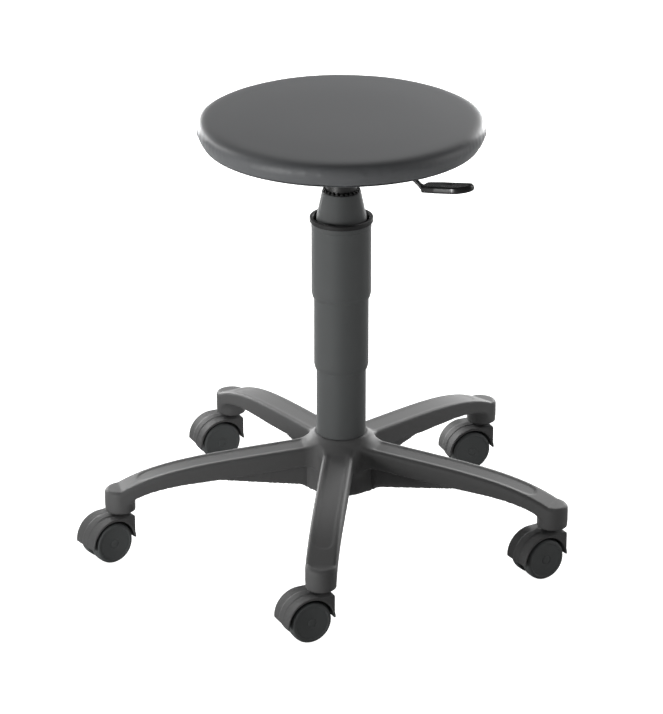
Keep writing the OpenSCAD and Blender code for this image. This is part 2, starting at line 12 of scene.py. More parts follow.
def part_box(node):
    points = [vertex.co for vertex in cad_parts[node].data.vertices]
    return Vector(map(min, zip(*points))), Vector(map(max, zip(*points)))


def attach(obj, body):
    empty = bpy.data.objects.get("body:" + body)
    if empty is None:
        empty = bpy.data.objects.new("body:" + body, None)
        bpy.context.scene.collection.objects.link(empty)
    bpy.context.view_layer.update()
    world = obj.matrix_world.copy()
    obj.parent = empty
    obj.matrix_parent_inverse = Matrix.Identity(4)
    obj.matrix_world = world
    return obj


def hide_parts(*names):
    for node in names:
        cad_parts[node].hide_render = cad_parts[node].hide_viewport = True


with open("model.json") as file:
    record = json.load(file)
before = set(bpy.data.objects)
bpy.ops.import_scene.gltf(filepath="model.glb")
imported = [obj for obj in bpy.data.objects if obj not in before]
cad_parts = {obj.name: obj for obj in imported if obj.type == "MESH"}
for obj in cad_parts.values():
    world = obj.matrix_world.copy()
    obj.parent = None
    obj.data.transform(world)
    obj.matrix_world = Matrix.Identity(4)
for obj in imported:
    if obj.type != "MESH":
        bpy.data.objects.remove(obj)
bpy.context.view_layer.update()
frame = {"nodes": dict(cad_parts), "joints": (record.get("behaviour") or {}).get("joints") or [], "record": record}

bl_info = {
    "name": "Swivel Stool Builder",
    "version": (1, 0, 0),
    "blender": (4, 5, 0),
    "location": "View3D > Sidebar > Stool",
    "description": "Builds a round swivel stool on a five-leg base, piece by piece",
    "category": "Object",
}

MM = 0.001
SLOT_OF = {part["node"]: part["material_slot"] for part in frame["record"]["subparts"]}
JOINTS = {joint["name"]: joint for joint in frame["joints"]}
BODY_OF = {node: body for body, nodes in frame["record"]["behaviour"]["bodies"].items()
           for node in nodes}


def lowest(node):
    return np.array(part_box(node)[0])


def highest(node):
    return np.array(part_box(node)[1])


def outer_radius(node):
    return float((highest(node)[0] - lowest(node)[0]) / 2)


# ---------------------------------------------------------------- sizes a user would change

class SeatSettings(bpy.types.PropertyGroup):
    """Sizes and colour of the upholstered seat"""
    colour: FloatVectorProperty(
        name="Leatherette", description="Colour of the seat's leatherette",
        subtype="COLOR", size=3, min=0, max=1, default=(0.030, 0.0308, 0.0314))
    voxel: FloatProperty(
        name="Remesh size", description="Voxel size of the mesh that the cushion is puffed from",
        unit="LENGTH", min=0.003, max=0.008, default=0.0042)
    pressure: FloatProperty(
        name="Fill pressure", description="Pressure that puffs the cushion",
        min=0, max=10, default=4)
    swell: FloatProperty(
        name="Most swell", description="Farthest that any point of the cushion may move",
        unit="LENGTH", min=0, max=0.006, default=0.0022)
    inset: FloatProperty(
        name="Starting inset", description="How much smaller the cushion starts, before it swells",
        unit="LENGTH", min=0, max=0.004, default=0.0008)
    evenness: IntProperty(
        name="Evenness", description="Rounds of evening out of the swell over the cushion",
        min=0, max=100, default=45)
    pleats: IntProperty(
        name="Hem pleats", description="Number of pleats in the turned-in hem",
        min=12, max=120, default=58)
    staples: IntProperty(
        name="Staples", description="Number of staples round the underside cloth",
        min=6, max=40, default=16)


class ColumnSettings(bpy.types.PropertyGroup):
    """Finish of the telescopic cover and its rings"""
    colour: FloatVectorProperty(
        name="Cover plastic", description="Colour of the cover tubes and the cone",
        subtype="COLOR", size=3, min=0, max=1, default=(0.017, 0.0179, 0.0179))
    edge: FloatProperty(
        name="Edge radius", description="Rounding of the cover tubes' edges",
        unit="LENGTH", min=0.0002, max=0.001, default=0.0006)
    teeth: IntProperty(
        name="Grip teeth", description="Number of teeth on the cone's grip ring",
        min=12, max=36, default=24)


class LeverSettings(bpy.types.PropertyGroup):
    """Shape of the height lever"""
    dish: FloatProperty(
        name="Finger dish", description="Depth of the dish in the top of the handle",
        unit="LENGTH", min=0, max=0.002, default=0.0012)
    step: FloatProperty(
        name="Mesh size", description="Grid size of the lever's meshes",
        unit="LENGTH", min=0.0005, max=0.002, default=0.0007)


class BaseSettings(bpy.types.PropertyGroup):
    """Shape and colour of the five-leg base"""
    colour: FloatVectorProperty(
        name="Base nylon", description="Colour of the five-leg base",
        subtype="COLOR", size=3, min=0, max=1, default=(0.016, 0.0168, 0.0168))
    blend: FloatProperty(
        name="Hub blend", description="Size of the fillet between legs and hub",
        unit="LENGTH", min=0.004, max=0.02, default=0.014)
    edge: FloatProperty(
        name="Edge radius", description="Rounding of the legs' upper edges",
        unit="LENGTH", min=0.001, max=0.01, default=0.0045)
    panel: FloatProperty(
        name="Panel depth", description="Depth of the shallow panel along a leg's top",
        unit="LENGTH", min=0, max=0.002, default=0.0006)
    step: FloatProperty(
        name="Mesh size", description="Grid size of the base's mesh",
        unit="LENGTH", min=0.0015, max=0.004, default=0.0021)


class CasterSettings(bpy.types.PropertyGroup):
    """Shape and colour of the casters"""
    colour: FloatVectorProperty(
        name="Hood nylon", description="Colour of the caster hoods",
        subtype="COLOR", size=3, min=0, max=1, default=(0.012, 0.0125, 0.0125))
    step: FloatProperty(
        name="Mesh size", description="Grid size of the hoods' mesh",
        unit="LENGTH", min=0.0006, max=0.002, default=0.0008)
    spokes: IntProperty(
        name="Wheel ribs", description="Number of ribs inside each wheel",
        min=3, max=12, default=8)


class StageSettings(bpy.types.PropertyGroup):
    """Floor, lights and camera"""
    floor: FloatVectorProperty(
        name="Floor", description="Colour of the floor",
        subtype="COLOR", size=3, min=0, max=1, default=(0.5, 0.5, 0.5))
    glow: FloatProperty(
        name="Floor glow", description="Extra brightness of the floor as the camera sees it",
        min=0, max=2, default=1.0)
    surround: FloatProperty(
        name="Surround", description="Brightness of the room as the object reflects it",
        min=0, max=1, default=0.13)
    elevation: FloatProperty(
        name="Camera elevation", description="Angle of the camera above the horizon",
        subtype="ANGLE", min=0, max=1.5, default=math.radians(22.74))
    distance: FloatProperty(
        name="Camera distance", description="Distance from the camera to its target",
        unit="LENGTH", min=1, max=10, default=4.289)
    lens: FloatProperty(
        name="Camera lens", description="Focal length in millimetres",
        min=50, max=300, default=176.1)


# ---------------------------------------------------------------- mesh making

def new_piece(name, verts, faces, material=None, smooth_angle=35):
    """A mesh object from its points and faces, welded, closed at its poles, facing outwards."""
    mesh = bpy.data.meshes.new(name)
    mesh.from_pydata([tuple(v) for v in verts], [], [tuple(f) for f in faces])
    tidy = bmesh.new()
    tidy.from_mesh(mesh)
    bmesh.ops.remove_doubles(tidy, verts=tidy.verts, dist=2e-6)
    bmesh.ops.dissolve_degenerate(tidy, edges=tidy.edges, dist=1e-7)
    bmesh.ops.recalc_face_normals(tidy, faces=tidy.faces)
    tidy.to_mesh(mesh)
    tidy.free()
    return finish_mesh(name, mesh, material, smooth_angle)


def finish_mesh(name, mesh, material, smooth_angle):
    for face in mesh.polygons:
        face.use_smooth = True
    mesh.set_sharp_from_angle(angle=math.radians(smooth_angle))
    piece = bpy.data.objects.new(name, mesh)
    bpy.context.scene.collection.objects.link(piece)
    if material is not None:
        mesh.materials.clear()
        mesh.materials.append(material)
    return piece


def rounded(outline, radius, steps=4, closed=True):
    """The outline with each of its corners turned into an arc."""
    points = [np.array(p, float) for p in outline]
    made = []
    for i, here in enumerate(points):
        if not closed and i in (0, len(points) - 1):
            made.append(here)
            continue
        back = points[i - 1] - here
        ahead = points[(i + 1) % len(points)] - here
        reach_back, reach_ahead = np.linalg.norm(back), np.linalg.norm(ahead)
        back, ahead = back / reach_back, ahead / reach_ahead
        half = math.acos(float(np.clip(back @ ahead, -1, 1))) / 2
        cut = min(radius / max(math.tan(half), 1e-6), 0.45 * reach_back, 0.45 * reach_ahead)
        if half > math.radians(86) or cut < 1e-6:
            made.append(here)
            continue
        start, end = here + back * cut, here + ahead * cut
        for k in range(steps + 1):
            t = k / steps
            made.append((1 - t) ** 2 * start + 2 * t * (1 - t) * here + t ** 2 * end)
    return made


def lathe_mesh(outline, segments=96):
    """Points and faces of a closed outline of (radius, height) turned round the Z axis."""
    ring = np.array(outline, float)
    turn = np.arange(segments) * 2 * math.pi / segments
    count = len(ring)
    verts = np.stack([
        np.outer(np.cos(turn), ring[:, 0]), np.outer(np.sin(turn), ring[:, 0]),
        np.broadcast_to(ring[:, 1], (segments, count))], axis=-1).reshape(-1, 3)
    faces = []
    for s in range(segments):
        t = (s + 1) % segments
        for k in range(count):
            n = (k + 1) % count
            if ring[k, 0] < 1e-7 and ring[n, 0] < 1e-7:
                continue
            faces.append((s * count + k, t * count + k, t * count + n, s * count + n))
    return verts, faces


def lathe(name, outline, material, radius=0.0006, segments=96, steps=4):
    verts, faces = lathe_mesh(rounded(outline, radius, steps), segments)
    return new_piece(name, verts, faces, material)


def join(name, parts, material, smooth_angle=35):
    """One piece from several objects, which are taken away."""
    verts, faces, start = [], [], 0
    for part in parts:
        mesh = part.data
        verts += [tuple(v.co) for v in mesh.vertices]
        faces += [tuple(start + i for i in face.vertices) for face in mesh.polygons]
        start += len(mesh.vertices)
        bpy.data.objects.remove(part)
    mesh = bpy.data.meshes.new(name)
    mesh.from_pydata(verts, [], faces)
    return finish_mesh(name, mesh, material, smooth_angle)


def block(size, centre, radius, name="block"):
    """A box with rounded edges."""
    mesh = bpy.data.meshes.new(name)
    solid = bmesh.new()
    bmesh.ops.create_cube(solid, size=1)
    bmesh.ops.scale(solid, vec=size, verts=solid.verts)
    bmesh.ops.bevel(solid, geom=list(solid.edges), offset=radius, segments=2, affect="EDGES")
    bmesh.ops.translate(solid, vec=centre, verts=solid.verts)
    solid.to_mesh(mesh)
    solid.free()
    return finish_mesh(name, mesh, None, 40)


def smooth_min(a, b, k):
    h = np.clip(0.5 + 0.5 * (b - a) / k, 0, 1)
    return b * (1 - h) + a * h - k * h * (1 - h)


def smooth_max(a, b, k):
    return -smooth_min(-a, -b, k)


def surface_of(field, low, high, step, rounds=3):
    """Points and faces of the surface where field, a signed distance, is nought."""
    axes = [np.arange(low[i] - 2 * step, high[i] + 3 * step, step) for i in range(3)]
    shape = [len(a) for a in axes]
    values = np.empty(shape, np.float32)
    for i, x in enumerate(axes[0]):
        y, z = np.meshgrid(axes[1], axes[2], indexing="ij")
        values[i] = field(np.full_like(y, x), y, z)
    inside = values < 0
    cells = tuple(n - 1 for n in shape)

    def corner(grid, dx, dy, dz):
        return grid[dx:dx + cells[0], dy:dy + cells[1], dz:dz + cells[2]]

    corners = [(dx, dy, dz) for dx in (0, 1) for dy in (0, 1) for dz in (0, 1)]
    count = sum(corner(inside, *c).astype(np.int8) for c in corners)
    active = (count > 0) & (count < 8)
    where = np.argwhere(active)
    index = np.full(cells, -1, np.int64)
    index[active] = np.arange(len(where))
    total, crossings = np.zeros((len(where), 3)), np.zeros(len(where))
    for a in corners:
        for axis in range(3):
            if a[axis]:
                continue
            b = tuple(a[i] + (i == axis) for i in range(3))
            va = values[tuple((where + a).T)]
            vb = values[tuple((where + b).T)]
            cut = (va < 0) != (vb < 0)
            t = np.where(cut, va / np.where(cut, va - vb, 1), 0)
            point = np.array(a, float) + np.outer(t, np.eye(3)[axis])
            total += point * cut[:, None]
            crossings += cut
    origin = np.array([a[0] for a in axes])
    verts = origin + (where + total / crossings[:, None]) * step
    faces = []
    for axis in range(3):
        u, v = [i for i in range(3) if i != axis]
        first = [slice(1, n - 1) for n in shape]
        first[axis] = slice(0, shape[axis] - 1)
        second = list(first)
        second[axis] = slice(1, shape[axis])
        here, ahead = inside[tuple(first)], inside[tuple(second)]
        edges = np.argwhere(here != ahead)
        begins = here[tuple(edges.T)]
        edges = edges + [0 if i == axis else 1 for i in range(3)]
        quad = []
        for du, dv in ((1, 1), (0, 1), (0, 0), (1, 0)):
            cell = edges.copy()
            cell[:, u] -= du
            cell[:, v] -= dv
            quad.append(index[tuple(cell.T)])
        quad = np.stack(quad, axis=1)
        turned = begins if axis != 1 else ~begins
        faces.append(np.where(turned[:, None], quad, quad[:, ::-1]))
    faces = np.concatenate(faces)
    return settle(field, verts, faces, step, rounds), faces


def settle(field, verts, faces, step, rounds):
    """Evens the points out over the surface and brings them onto it."""
    ends = np.concatenate([faces[:, [0, 1]], faces[:, [1, 2]], faces[:, [2, 3]], faces[:, [3, 0]]])
    degree = np.bincount(ends.ravel(), minlength=len(verts)).astype(float)
    h = 0.1 * step
    for _ in range(rounds):
        near = np.zeros_like(verts)
        for axis in range(3):
            near[:, axis] = (np.bincount(ends[:, 0], verts[ends[:, 1], axis], len(verts))
                             + np.bincount(ends[:, 1], verts[ends[:, 0], axis], len(verts)))
        near /= degree[:, None]
        slope = np.stack([
            field(*(verts + h * np.eye(3)[i]).T) - field(*(verts - h * np.eye(3)[i]).T)
            for i in range(3)], axis=1) / (2 * h)
        length = np.maximum(np.linalg.norm(slope, axis=1, keepdims=True), 1e-6)
        normal = slope / length
        shift = 0.5 * (near - verts)
        verts = verts + shift - normal * np.sum(shift * normal, axis=1, keepdims=True)
        for _ in range(2):
            off = field(*verts.T)[:, None] / np.maximum(length, 0.3)
            verts = verts - normal * np.clip(off, -0.5 * step, 0.5 * step)
    return verts


# ---------------------------------------------------------------- geometry node trees

def socket_id(tree, name):
    for item in tree.interface.items_tree:
        if item.item_type == "SOCKET" and item.in_out == "INPUT" and item.name == name:
            return item.identifier
    raise KeyError(name)


def new_tree(name, inputs):
    tree = bpy.data.node_groups.new(name, "GeometryNodeTree")
    tree.interface.new_socket("Geometry", in_out="INPUT", socket_type="NodeSocketGeometry")
    for label, kind in inputs:
        tree.interface.new_socket(label, in_out="INPUT", socket_type="NodeSocket" + kind)
    tree.interface.new_socket("Geometry", in_out="OUTPUT", socket_type="NodeSocketGeometry")
    return tree, tree.nodes.new("NodeGroupInput"), tree.nodes.new("NodeGroupOutput")


def maths(tree, kind, a, b=None):
    """A Math node on two values or sockets, and its result."""
    node = tree.nodes.new("ShaderNodeMath")
    node.operation = kind
    for i, value in enumerate((a, b)):
        if value is None:
            continue
        if isinstance(value, bpy.types.NodeSocket):
            tree.links.new(value, node.inputs[i])
        else:
            node.inputs[i].default_value = value
    return node.outputs[0]


def ring_tree():
    """Repeats the object's mesh round the Z axis."""
    tree, given, result = new_tree("Ring of Parts", [
        ("Count", "Int"), ("Radius", "Float"), ("Height", "Float"), ("Turn", "Float"),
        ("Material", "Material")])
    link = tree.links.new
    shift = tree.nodes.new("ShaderNodeCombineXYZ")
    link(given.outputs["Radius"], shift.inputs["X"])
    link(given.outputs["Height"], shift.inputs["Z"])
    placed = tree.nodes.new("GeometryNodeTransform")
    link(given.outputs["Geometry"], placed.inputs["Geometry"])
    link(shift.outputs[0], placed.inputs["Translation"])
    points = tree.nodes.new("GeometryNodePoints")
    link(given.outputs["Count"], points.inputs["Count"])
    number = tree.nodes.new("GeometryNodeInputIndex")
    share = maths(tree, "DIVIDE", number.outputs[0], given.outputs["Count"])
    angle = maths(tree, "ADD", maths(tree, "MULTIPLY", share, 2 * math.pi), given.outputs["Turn"])
    turn = tree.nodes.new("ShaderNodeCombineXYZ")
    link(angle, turn.inputs["Z"])
    spread = tree.nodes.new("GeometryNodeInstanceOnPoints")
    link(points.outputs[0], spread.inputs["Points"])
    link(placed.outputs[0], spread.inputs["Instance"])
    link(turn.outputs[0], spread.inputs["Rotation"])
    real = tree.nodes.new("GeometryNodeRealizeInstances")
    link(spread.outputs[0], real.inputs[0])
    paint = tree.nodes.new("GeometryNodeSetMaterial")
    link(real.outputs[0], paint.inputs["Geometry"])
    link(given.outputs["Material"], paint.inputs["Material"])
    link(paint.outputs[0], result.inputs[0])
    return tree


def hem_tree():
    """A flat ring of cover with pleats that deepen away from its outer edge."""
    tree, given, result = new_tree("Pleated Hem", [
        ("Inner Radius", "Float"), ("Outer Radius", "Float"), ("Height", "Float"),
        ("Pleats", "Int"), ("Depth", "Float"), ("Clamp Radius", "Float"), ("Seed", "Int"),
        ("Material", "Material")])
    link = tree.links.new
    grid = tree.nodes.new("GeometryNodeMeshGrid")
    grid.inputs["Size X"].default_value = 1
    grid.inputs["Size Y"].default_value = 1
    grid.inputs["Vertices X"].default_value = 721
    grid.inputs["Vertices Y"].default_value = 14
    place = tree.nodes.new("GeometryNodeInputPosition")
    split = tree.nodes.new("ShaderNodeSeparateXYZ")
    link(place.outputs[0], split.inputs[0])
    around = maths(tree, "MULTIPLY", maths(tree, "ADD", split.outputs["X"], 0.5), 2 * math.pi)
    outwards = maths(tree, "ADD", split.outputs["Y"], 0.5)
    width = maths(tree, "SUBTRACT", given.outputs["Outer Radius"], given.outputs["Inner Radius"])
    radius = maths(tree, "ADD", maths(tree, "MULTIPLY", outwards, width),
                   given.outputs["Inner Radius"])
    x = maths(tree, "MULTIPLY", maths(tree, "COSINE", around), radius)
    y = maths(tree, "MULTIPLY", maths(tree, "SINE", around), radius)
    flat = tree.nodes.new("ShaderNodeCombineXYZ")
    link(x, flat.inputs["X"])
    link(y, flat.inputs["Y"])
    link(given.outputs["Seed"], flat.inputs["Z"])
    wander = tree.nodes.new("ShaderNodeTexNoise")
    wander.inputs["Scale"].default_value = 16
    link(flat.outputs[0], wander.inputs["Vector"])
    phase = maths(tree, "ADD", maths(tree, "MULTIPLY", around, given.outputs["Pleats"]),
                  maths(tree, "MULTIPLY", wander.outputs[0], 5.0))
    wave = maths(tree, "POWER", maths(tree, "ABSOLUTE", maths(
        tree, "SINE", maths(tree, "MULTIPLY", phase, 0.5))), 4.0)
    from_edge = maths(tree, "SUBTRACT", given.outputs["Outer Radius"], radius)
    rise = maths(tree, "MINIMUM", maths(tree, "DIVIDE", from_edge, 0.016), 1.0)
    held = maths(tree, "MINIMUM", maths(tree, "MAXIMUM", maths(tree, "DIVIDE", maths(
        tree, "SUBTRACT", radius, given.outputs["Clamp Radius"]), 0.003), 0.0), 1.0)
    depth = maths(tree, "MULTIPLY", maths(tree, "MULTIPLY", wave, given.outputs["Depth"]),
                  maths(tree, "MULTIPLY", rise, held))
    height = maths(tree, "SUBTRACT", given.outputs["Height"], depth)
    ring = tree.nodes.new("ShaderNodeCombineXYZ")
    link(x, ring.inputs["X"])
    link(y, ring.inputs["Y"])
    link(height, ring.inputs["Z"])
    moved = tree.nodes.new("GeometryNodeSetPosition")
    link(grid.outputs[0], moved.inputs["Geometry"])
    link(ring.outputs[0], moved.inputs["Position"])
    welded = tree.nodes.new("GeometryNodeMergeByDistance")
    welded.inputs["Distance"].default_value = 1e-5
    link(moved.outputs[0], welded.inputs[0])
    real = tree.nodes.new("GeometryNodeRealizeInstances")
    link(welded.outputs[0], real.inputs[0])
    paint = tree.nodes.new("GeometryNodeSetMaterial")
    link(real.outputs[0], paint.inputs["Geometry"])
    link(given.outputs["Material"], paint.inputs["Material"])
    link(paint.outputs[0], result.inputs[0])
    return tree


def tree_named(name):
    makers = {"Ring of Parts": ring_tree, "Pleated Hem": hem_tree}
    return bpy.data.node_groups.get(name) or makers[name]()


def grown(name, source, tree_name, smooth_angle=35, **values):
    """The plain mesh that a geometry node tree makes from source, which is taken away."""
    tree = tree_named(tree_name)
    modifier = source.modifiers.new("grow", "NODES")
    modifier.node_group = tree
    for label, value in values.items():
        modifier[socket_id(tree, label.replace("_", " "))] = value
    source.update_tag()
    graph = bpy.context.evaluated_depsgraph_get()
    graph.update()
    mesh = bpy.data.meshes.new_from_object(source.evaluated_get(graph))
    bpy.data.objects.remove(source)
    mesh.name = name
    return finish_mesh(name, mesh, values.get("Material"), smooth_angle)


def applied(piece):
    """Turns the piece's live modifiers into its mesh."""
    graph = bpy.context.evaluated_depsgraph_get()
    graph.update()
    mesh = bpy.data.meshes.new_from_object(piece.evaluated_get(graph))
    piece.modifiers.clear()
    piece.data = mesh
    return piece


# ---------------------------------------------------------------- shader groups and finishes

def shader_group(name, inputs, outputs):
    tree = bpy.data.node_groups.new(name, "ShaderNodeTree")
    for label, kind, value in inputs:
        socket = tree.interface.new_socket(label, in_out="INPUT", socket_type="NodeSocket" + kind)
        if value is not None:
            socket.default_value = value
    for label, kind in outputs:
        tree.interface.new_socket(label, in_out="OUTPUT", socket_type="NodeSocket" + kind)
    return tree, tree.nodes.new("NodeGroupInput"), tree.nodes.new("NodeGroupOutput")


def textured(tree, kind, vector, scale, **settings):
    node = tree.nodes.new("ShaderNodeTex" + kind)
    tree.links.new(vector, node.inputs["Vector"])
    if isinstance(scale, bpy.types.NodeSocket):
        tree.links.new(scale, node.inputs["Scale"])
    else:
        node.inputs["Scale"].default_value = scale
    for label, value in settings.items():
        if label in node.inputs:
            node.inputs[label].default_value = value
        else:
            setattr(node, label, value)
    return node


def mixed(tree, factor, first, second):
    """A colour mix of two sockets or colours by a mask."""
    node = tree.nodes.new("ShaderNodeMix")
    node.data_type = "RGBA"
    tree.links.new(factor, node.inputs[0])
    for index, value in ((6, first), (7, second)):
        if isinstance(value, bpy.types.NodeSocket):
            tree.links.new(value, node.inputs[index])
        else:
            node.inputs[index].default_value = value
    return node.outputs[2]


def ranged(tree, value, from_low, from_high, to_low=0.0, to_high=1.0):
    node = tree.nodes.new("ShaderNodeMapRange")
    tree.links.new(value, node.inputs["Value"])
    for label, number in (("From Min", from_low), ("From Max", from_high),
                          ("To Min", to_low), ("To Max", to_high)):
        if isinstance(number, bpy.types.NodeSocket):
            tree.links.new(number, node.inputs[label])
        else:
            node.inputs[label].default_value = number
    return node.outputs[0]


def grain_group():
    """Fine surface relief: spark-eroded plastic at Pebble 0, pebbled leatherette at 1."""
    tree, given, result = shader_group("Surface Grain", [
        ("Vector", "Vector", None), ("Scale", "Float", 900.0), ("Pebble", "Float", 0.0),
        ("Softness", "Float", 0.5)], [("Height", "Float"), ("Mask", "Float")])
    vector = given.outputs["Vector"]
    cells = textured(tree, "Voronoi", vector, given.outputs["Scale"], feature="SMOOTH_F1",
                     Smoothness=0.6)
    dome = ranged(tree, cells.outputs["Distance"], 0.0, 0.75, 1.0, 0.0)
    fine = textured(tree, "Noise", vector, maths(tree, "MULTIPLY", given.outputs["Scale"], 1.7),
                    Detail=3.0, Roughness=0.6)
    broad = textured(tree, "Noise", vector, maths(tree, "MULTIPLY", given.outputs["Scale"], 0.12),
                     Detail=2.0)
    rest = maths(tree, "SUBTRACT", 1.0, given.outputs["Pebble"])
    height = maths(tree, "ADD", maths(tree, "MULTIPLY", dome, given.outputs["Pebble"]),
                   maths(tree, "MULTIPLY", fine.outputs[0], rest))
    height = maths(tree, "MULTIPLY", height, ranged(
        tree, broad.outputs[0], 0.3, 0.7, given.outputs["Softness"], 1.0))
    tree.links.new(height, result.inputs["Height"])
    tree.links.new(fine.outputs[0], result.inputs["Mask"])
    return tree


def drift_group():
    """Slow changes of tone over a moulded, coated or upholstered surface."""
    tree, given, result = shader_group("Tone Drift", [
        ("Vector", "Vector", None), ("Colour", "Color", (0.5, 0.5, 0.5, 1)),
        ("Amount", "Float", 0.1), ("Scale", "Float", 9.0)],
        [("Colour", "Color"), ("Mask", "Float")])
    clouds = textured(tree, "Noise", given.outputs["Vector"], given.outputs["Scale"],
                      Detail=4.0, Roughness=0.55)
    shift = maths(tree, "MULTIPLY", ranged(tree, clouds.outputs[0], 0.25, 0.75, -1.0, 1.0),
                  given.outputs["Amount"])
    factor = maths(tree, "ADD", shift, 1.0)
    scale = tree.nodes.new("ShaderNodeVectorMath")
    scale.operation = "SCALE"
    tree.links.new(given.outputs["Colour"], scale.inputs[0])
    tree.links.new(factor, scale.inputs["Scale"])
    tree.links.new(scale.outputs[0], result.inputs["Colour"])
    tree.links.new(clouds.outputs[0], result.inputs["Mask"])
    return tree


def edge_highlight_and_wear_group():
    """Painted edge highlight and rubbed wear: a paler tone where the surface turns sharply outwards."""
    tree, given, result = shader_group("Edge Highlight And Wear", [
        ("Vector", "Vector", None), ("Colour", "Color", (0.5, 0.5, 0.5, 1)),
        ("Worn Colour", "Color", (0.7, 0.7, 0.7, 1)), ("Amount", "Float", 0.4)],
        [("Colour", "Color"), ("Mask", "Float")])
    shape = tree.nodes.new("ShaderNodeNewGeometry")
    # painted highlight: sharp outward edges, found by pointiness, get a paler colour that stands in for edge
    # highlights as well as rubbed wear
    edge = ranged(tree, shape.outputs["Pointiness"], 0.512, 0.56)
    patches = textured(tree, "Noise", given.outputs["Vector"], 60.0, Detail=5.0, Roughness=0.7)
    broken = maths(tree, "MULTIPLY", edge, ranged(tree, patches.outputs[0], 0.4, 0.62))
    mask = maths(tree, "MULTIPLY", broken, given.outputs["Amount"])
    tree.links.new(mixed(tree, mask, given.outputs["Colour"], given.outputs["Worn Colour"]),
                   result.inputs["Colour"])
    tree.links.new(mask, result.inputs["Mask"])
    return tree


def dust_group():
    """A thin film of dust that lies on what faces up."""
    tree, given, result = shader_group("Settled Dust", [
        ("Vector", "Vector", None), ("Colour", "Color", (0.5, 0.5, 0.5, 1)),
        ("Dust Colour", "Color", (0.35, 0.34, 0.32, 1)), ("Amount", "Float", 0.04)],
        [("Colour", "Color"), ("Mask", "Float")])
    shape = tree.nodes.new("ShaderNodeNewGeometry")
    split = tree.nodes.new("ShaderNodeSeparateXYZ")
    tree.links.new(shape.outputs["Normal"], split.inputs[0])
    facing = ranged(tree, split.outputs["Z"], 0.2, 0.95)
    specks = textured(tree, "Noise", given.outputs["Vector"], 35.0, Detail=7.0, Roughness=0.7)
    mask = maths(tree, "MULTIPLY", maths(tree, "MULTIPLY", facing, ranged(
        tree, specks.outputs[0], 0.35, 0.7)), given.outputs["Amount"])
    tree.links.new(mixed(tree, mask, given.outputs["Colour"], given.outputs["Dust Colour"]),
                   result.inputs["Colour"])
    tree.links.new(mask, result.inputs["Mask"])
    return tree


def strand_group():
    """Long marks along Z or round the part: brushing, turning marks, wood grain, threads."""
    tree, given, result = shader_group("Long Marks", [
        ("Vector", "Vector", None), ("Scale", "Float", 200.0), ("Stretch", "Float", 0.05)],
        [("Height", "Float"), ("Mask", "Float")])
    squeeze = tree.nodes.new("ShaderNodeCombineXYZ")
    link = tree.links.new
    split = tree.nodes.new("ShaderNodeSeparateXYZ")
    link(given.outputs["Vector"], split.inputs[0])
    link(maths(tree, "MULTIPLY", split.outputs["X"], given.outputs["Stretch"]),
         squeeze.inputs["X"])
    link(maths(tree, "MULTIPLY", split.outputs["Y"], given.outputs["Stretch"]),
         squeeze.inputs["Y"])
    link(split.outputs["Z"], squeeze.inputs["Z"])
    marks = textured(tree, "Noise", squeeze.outputs[0], given.outputs["Scale"],
                     Detail=6.0, Roughness=0.65)
    link(marks.outputs[0], result.inputs["Height"])
    link(ranged(tree, marks.outputs[0], 0.35, 0.65), result.inputs["Mask"])
    return tree


GROUPS = {"Surface Grain": grain_group, "Tone Drift": drift_group, "Edge Highlight And Wear": edge_highlight_and_wear_group,
          "Settled Dust": dust_group, "Long Marks": strand_group}
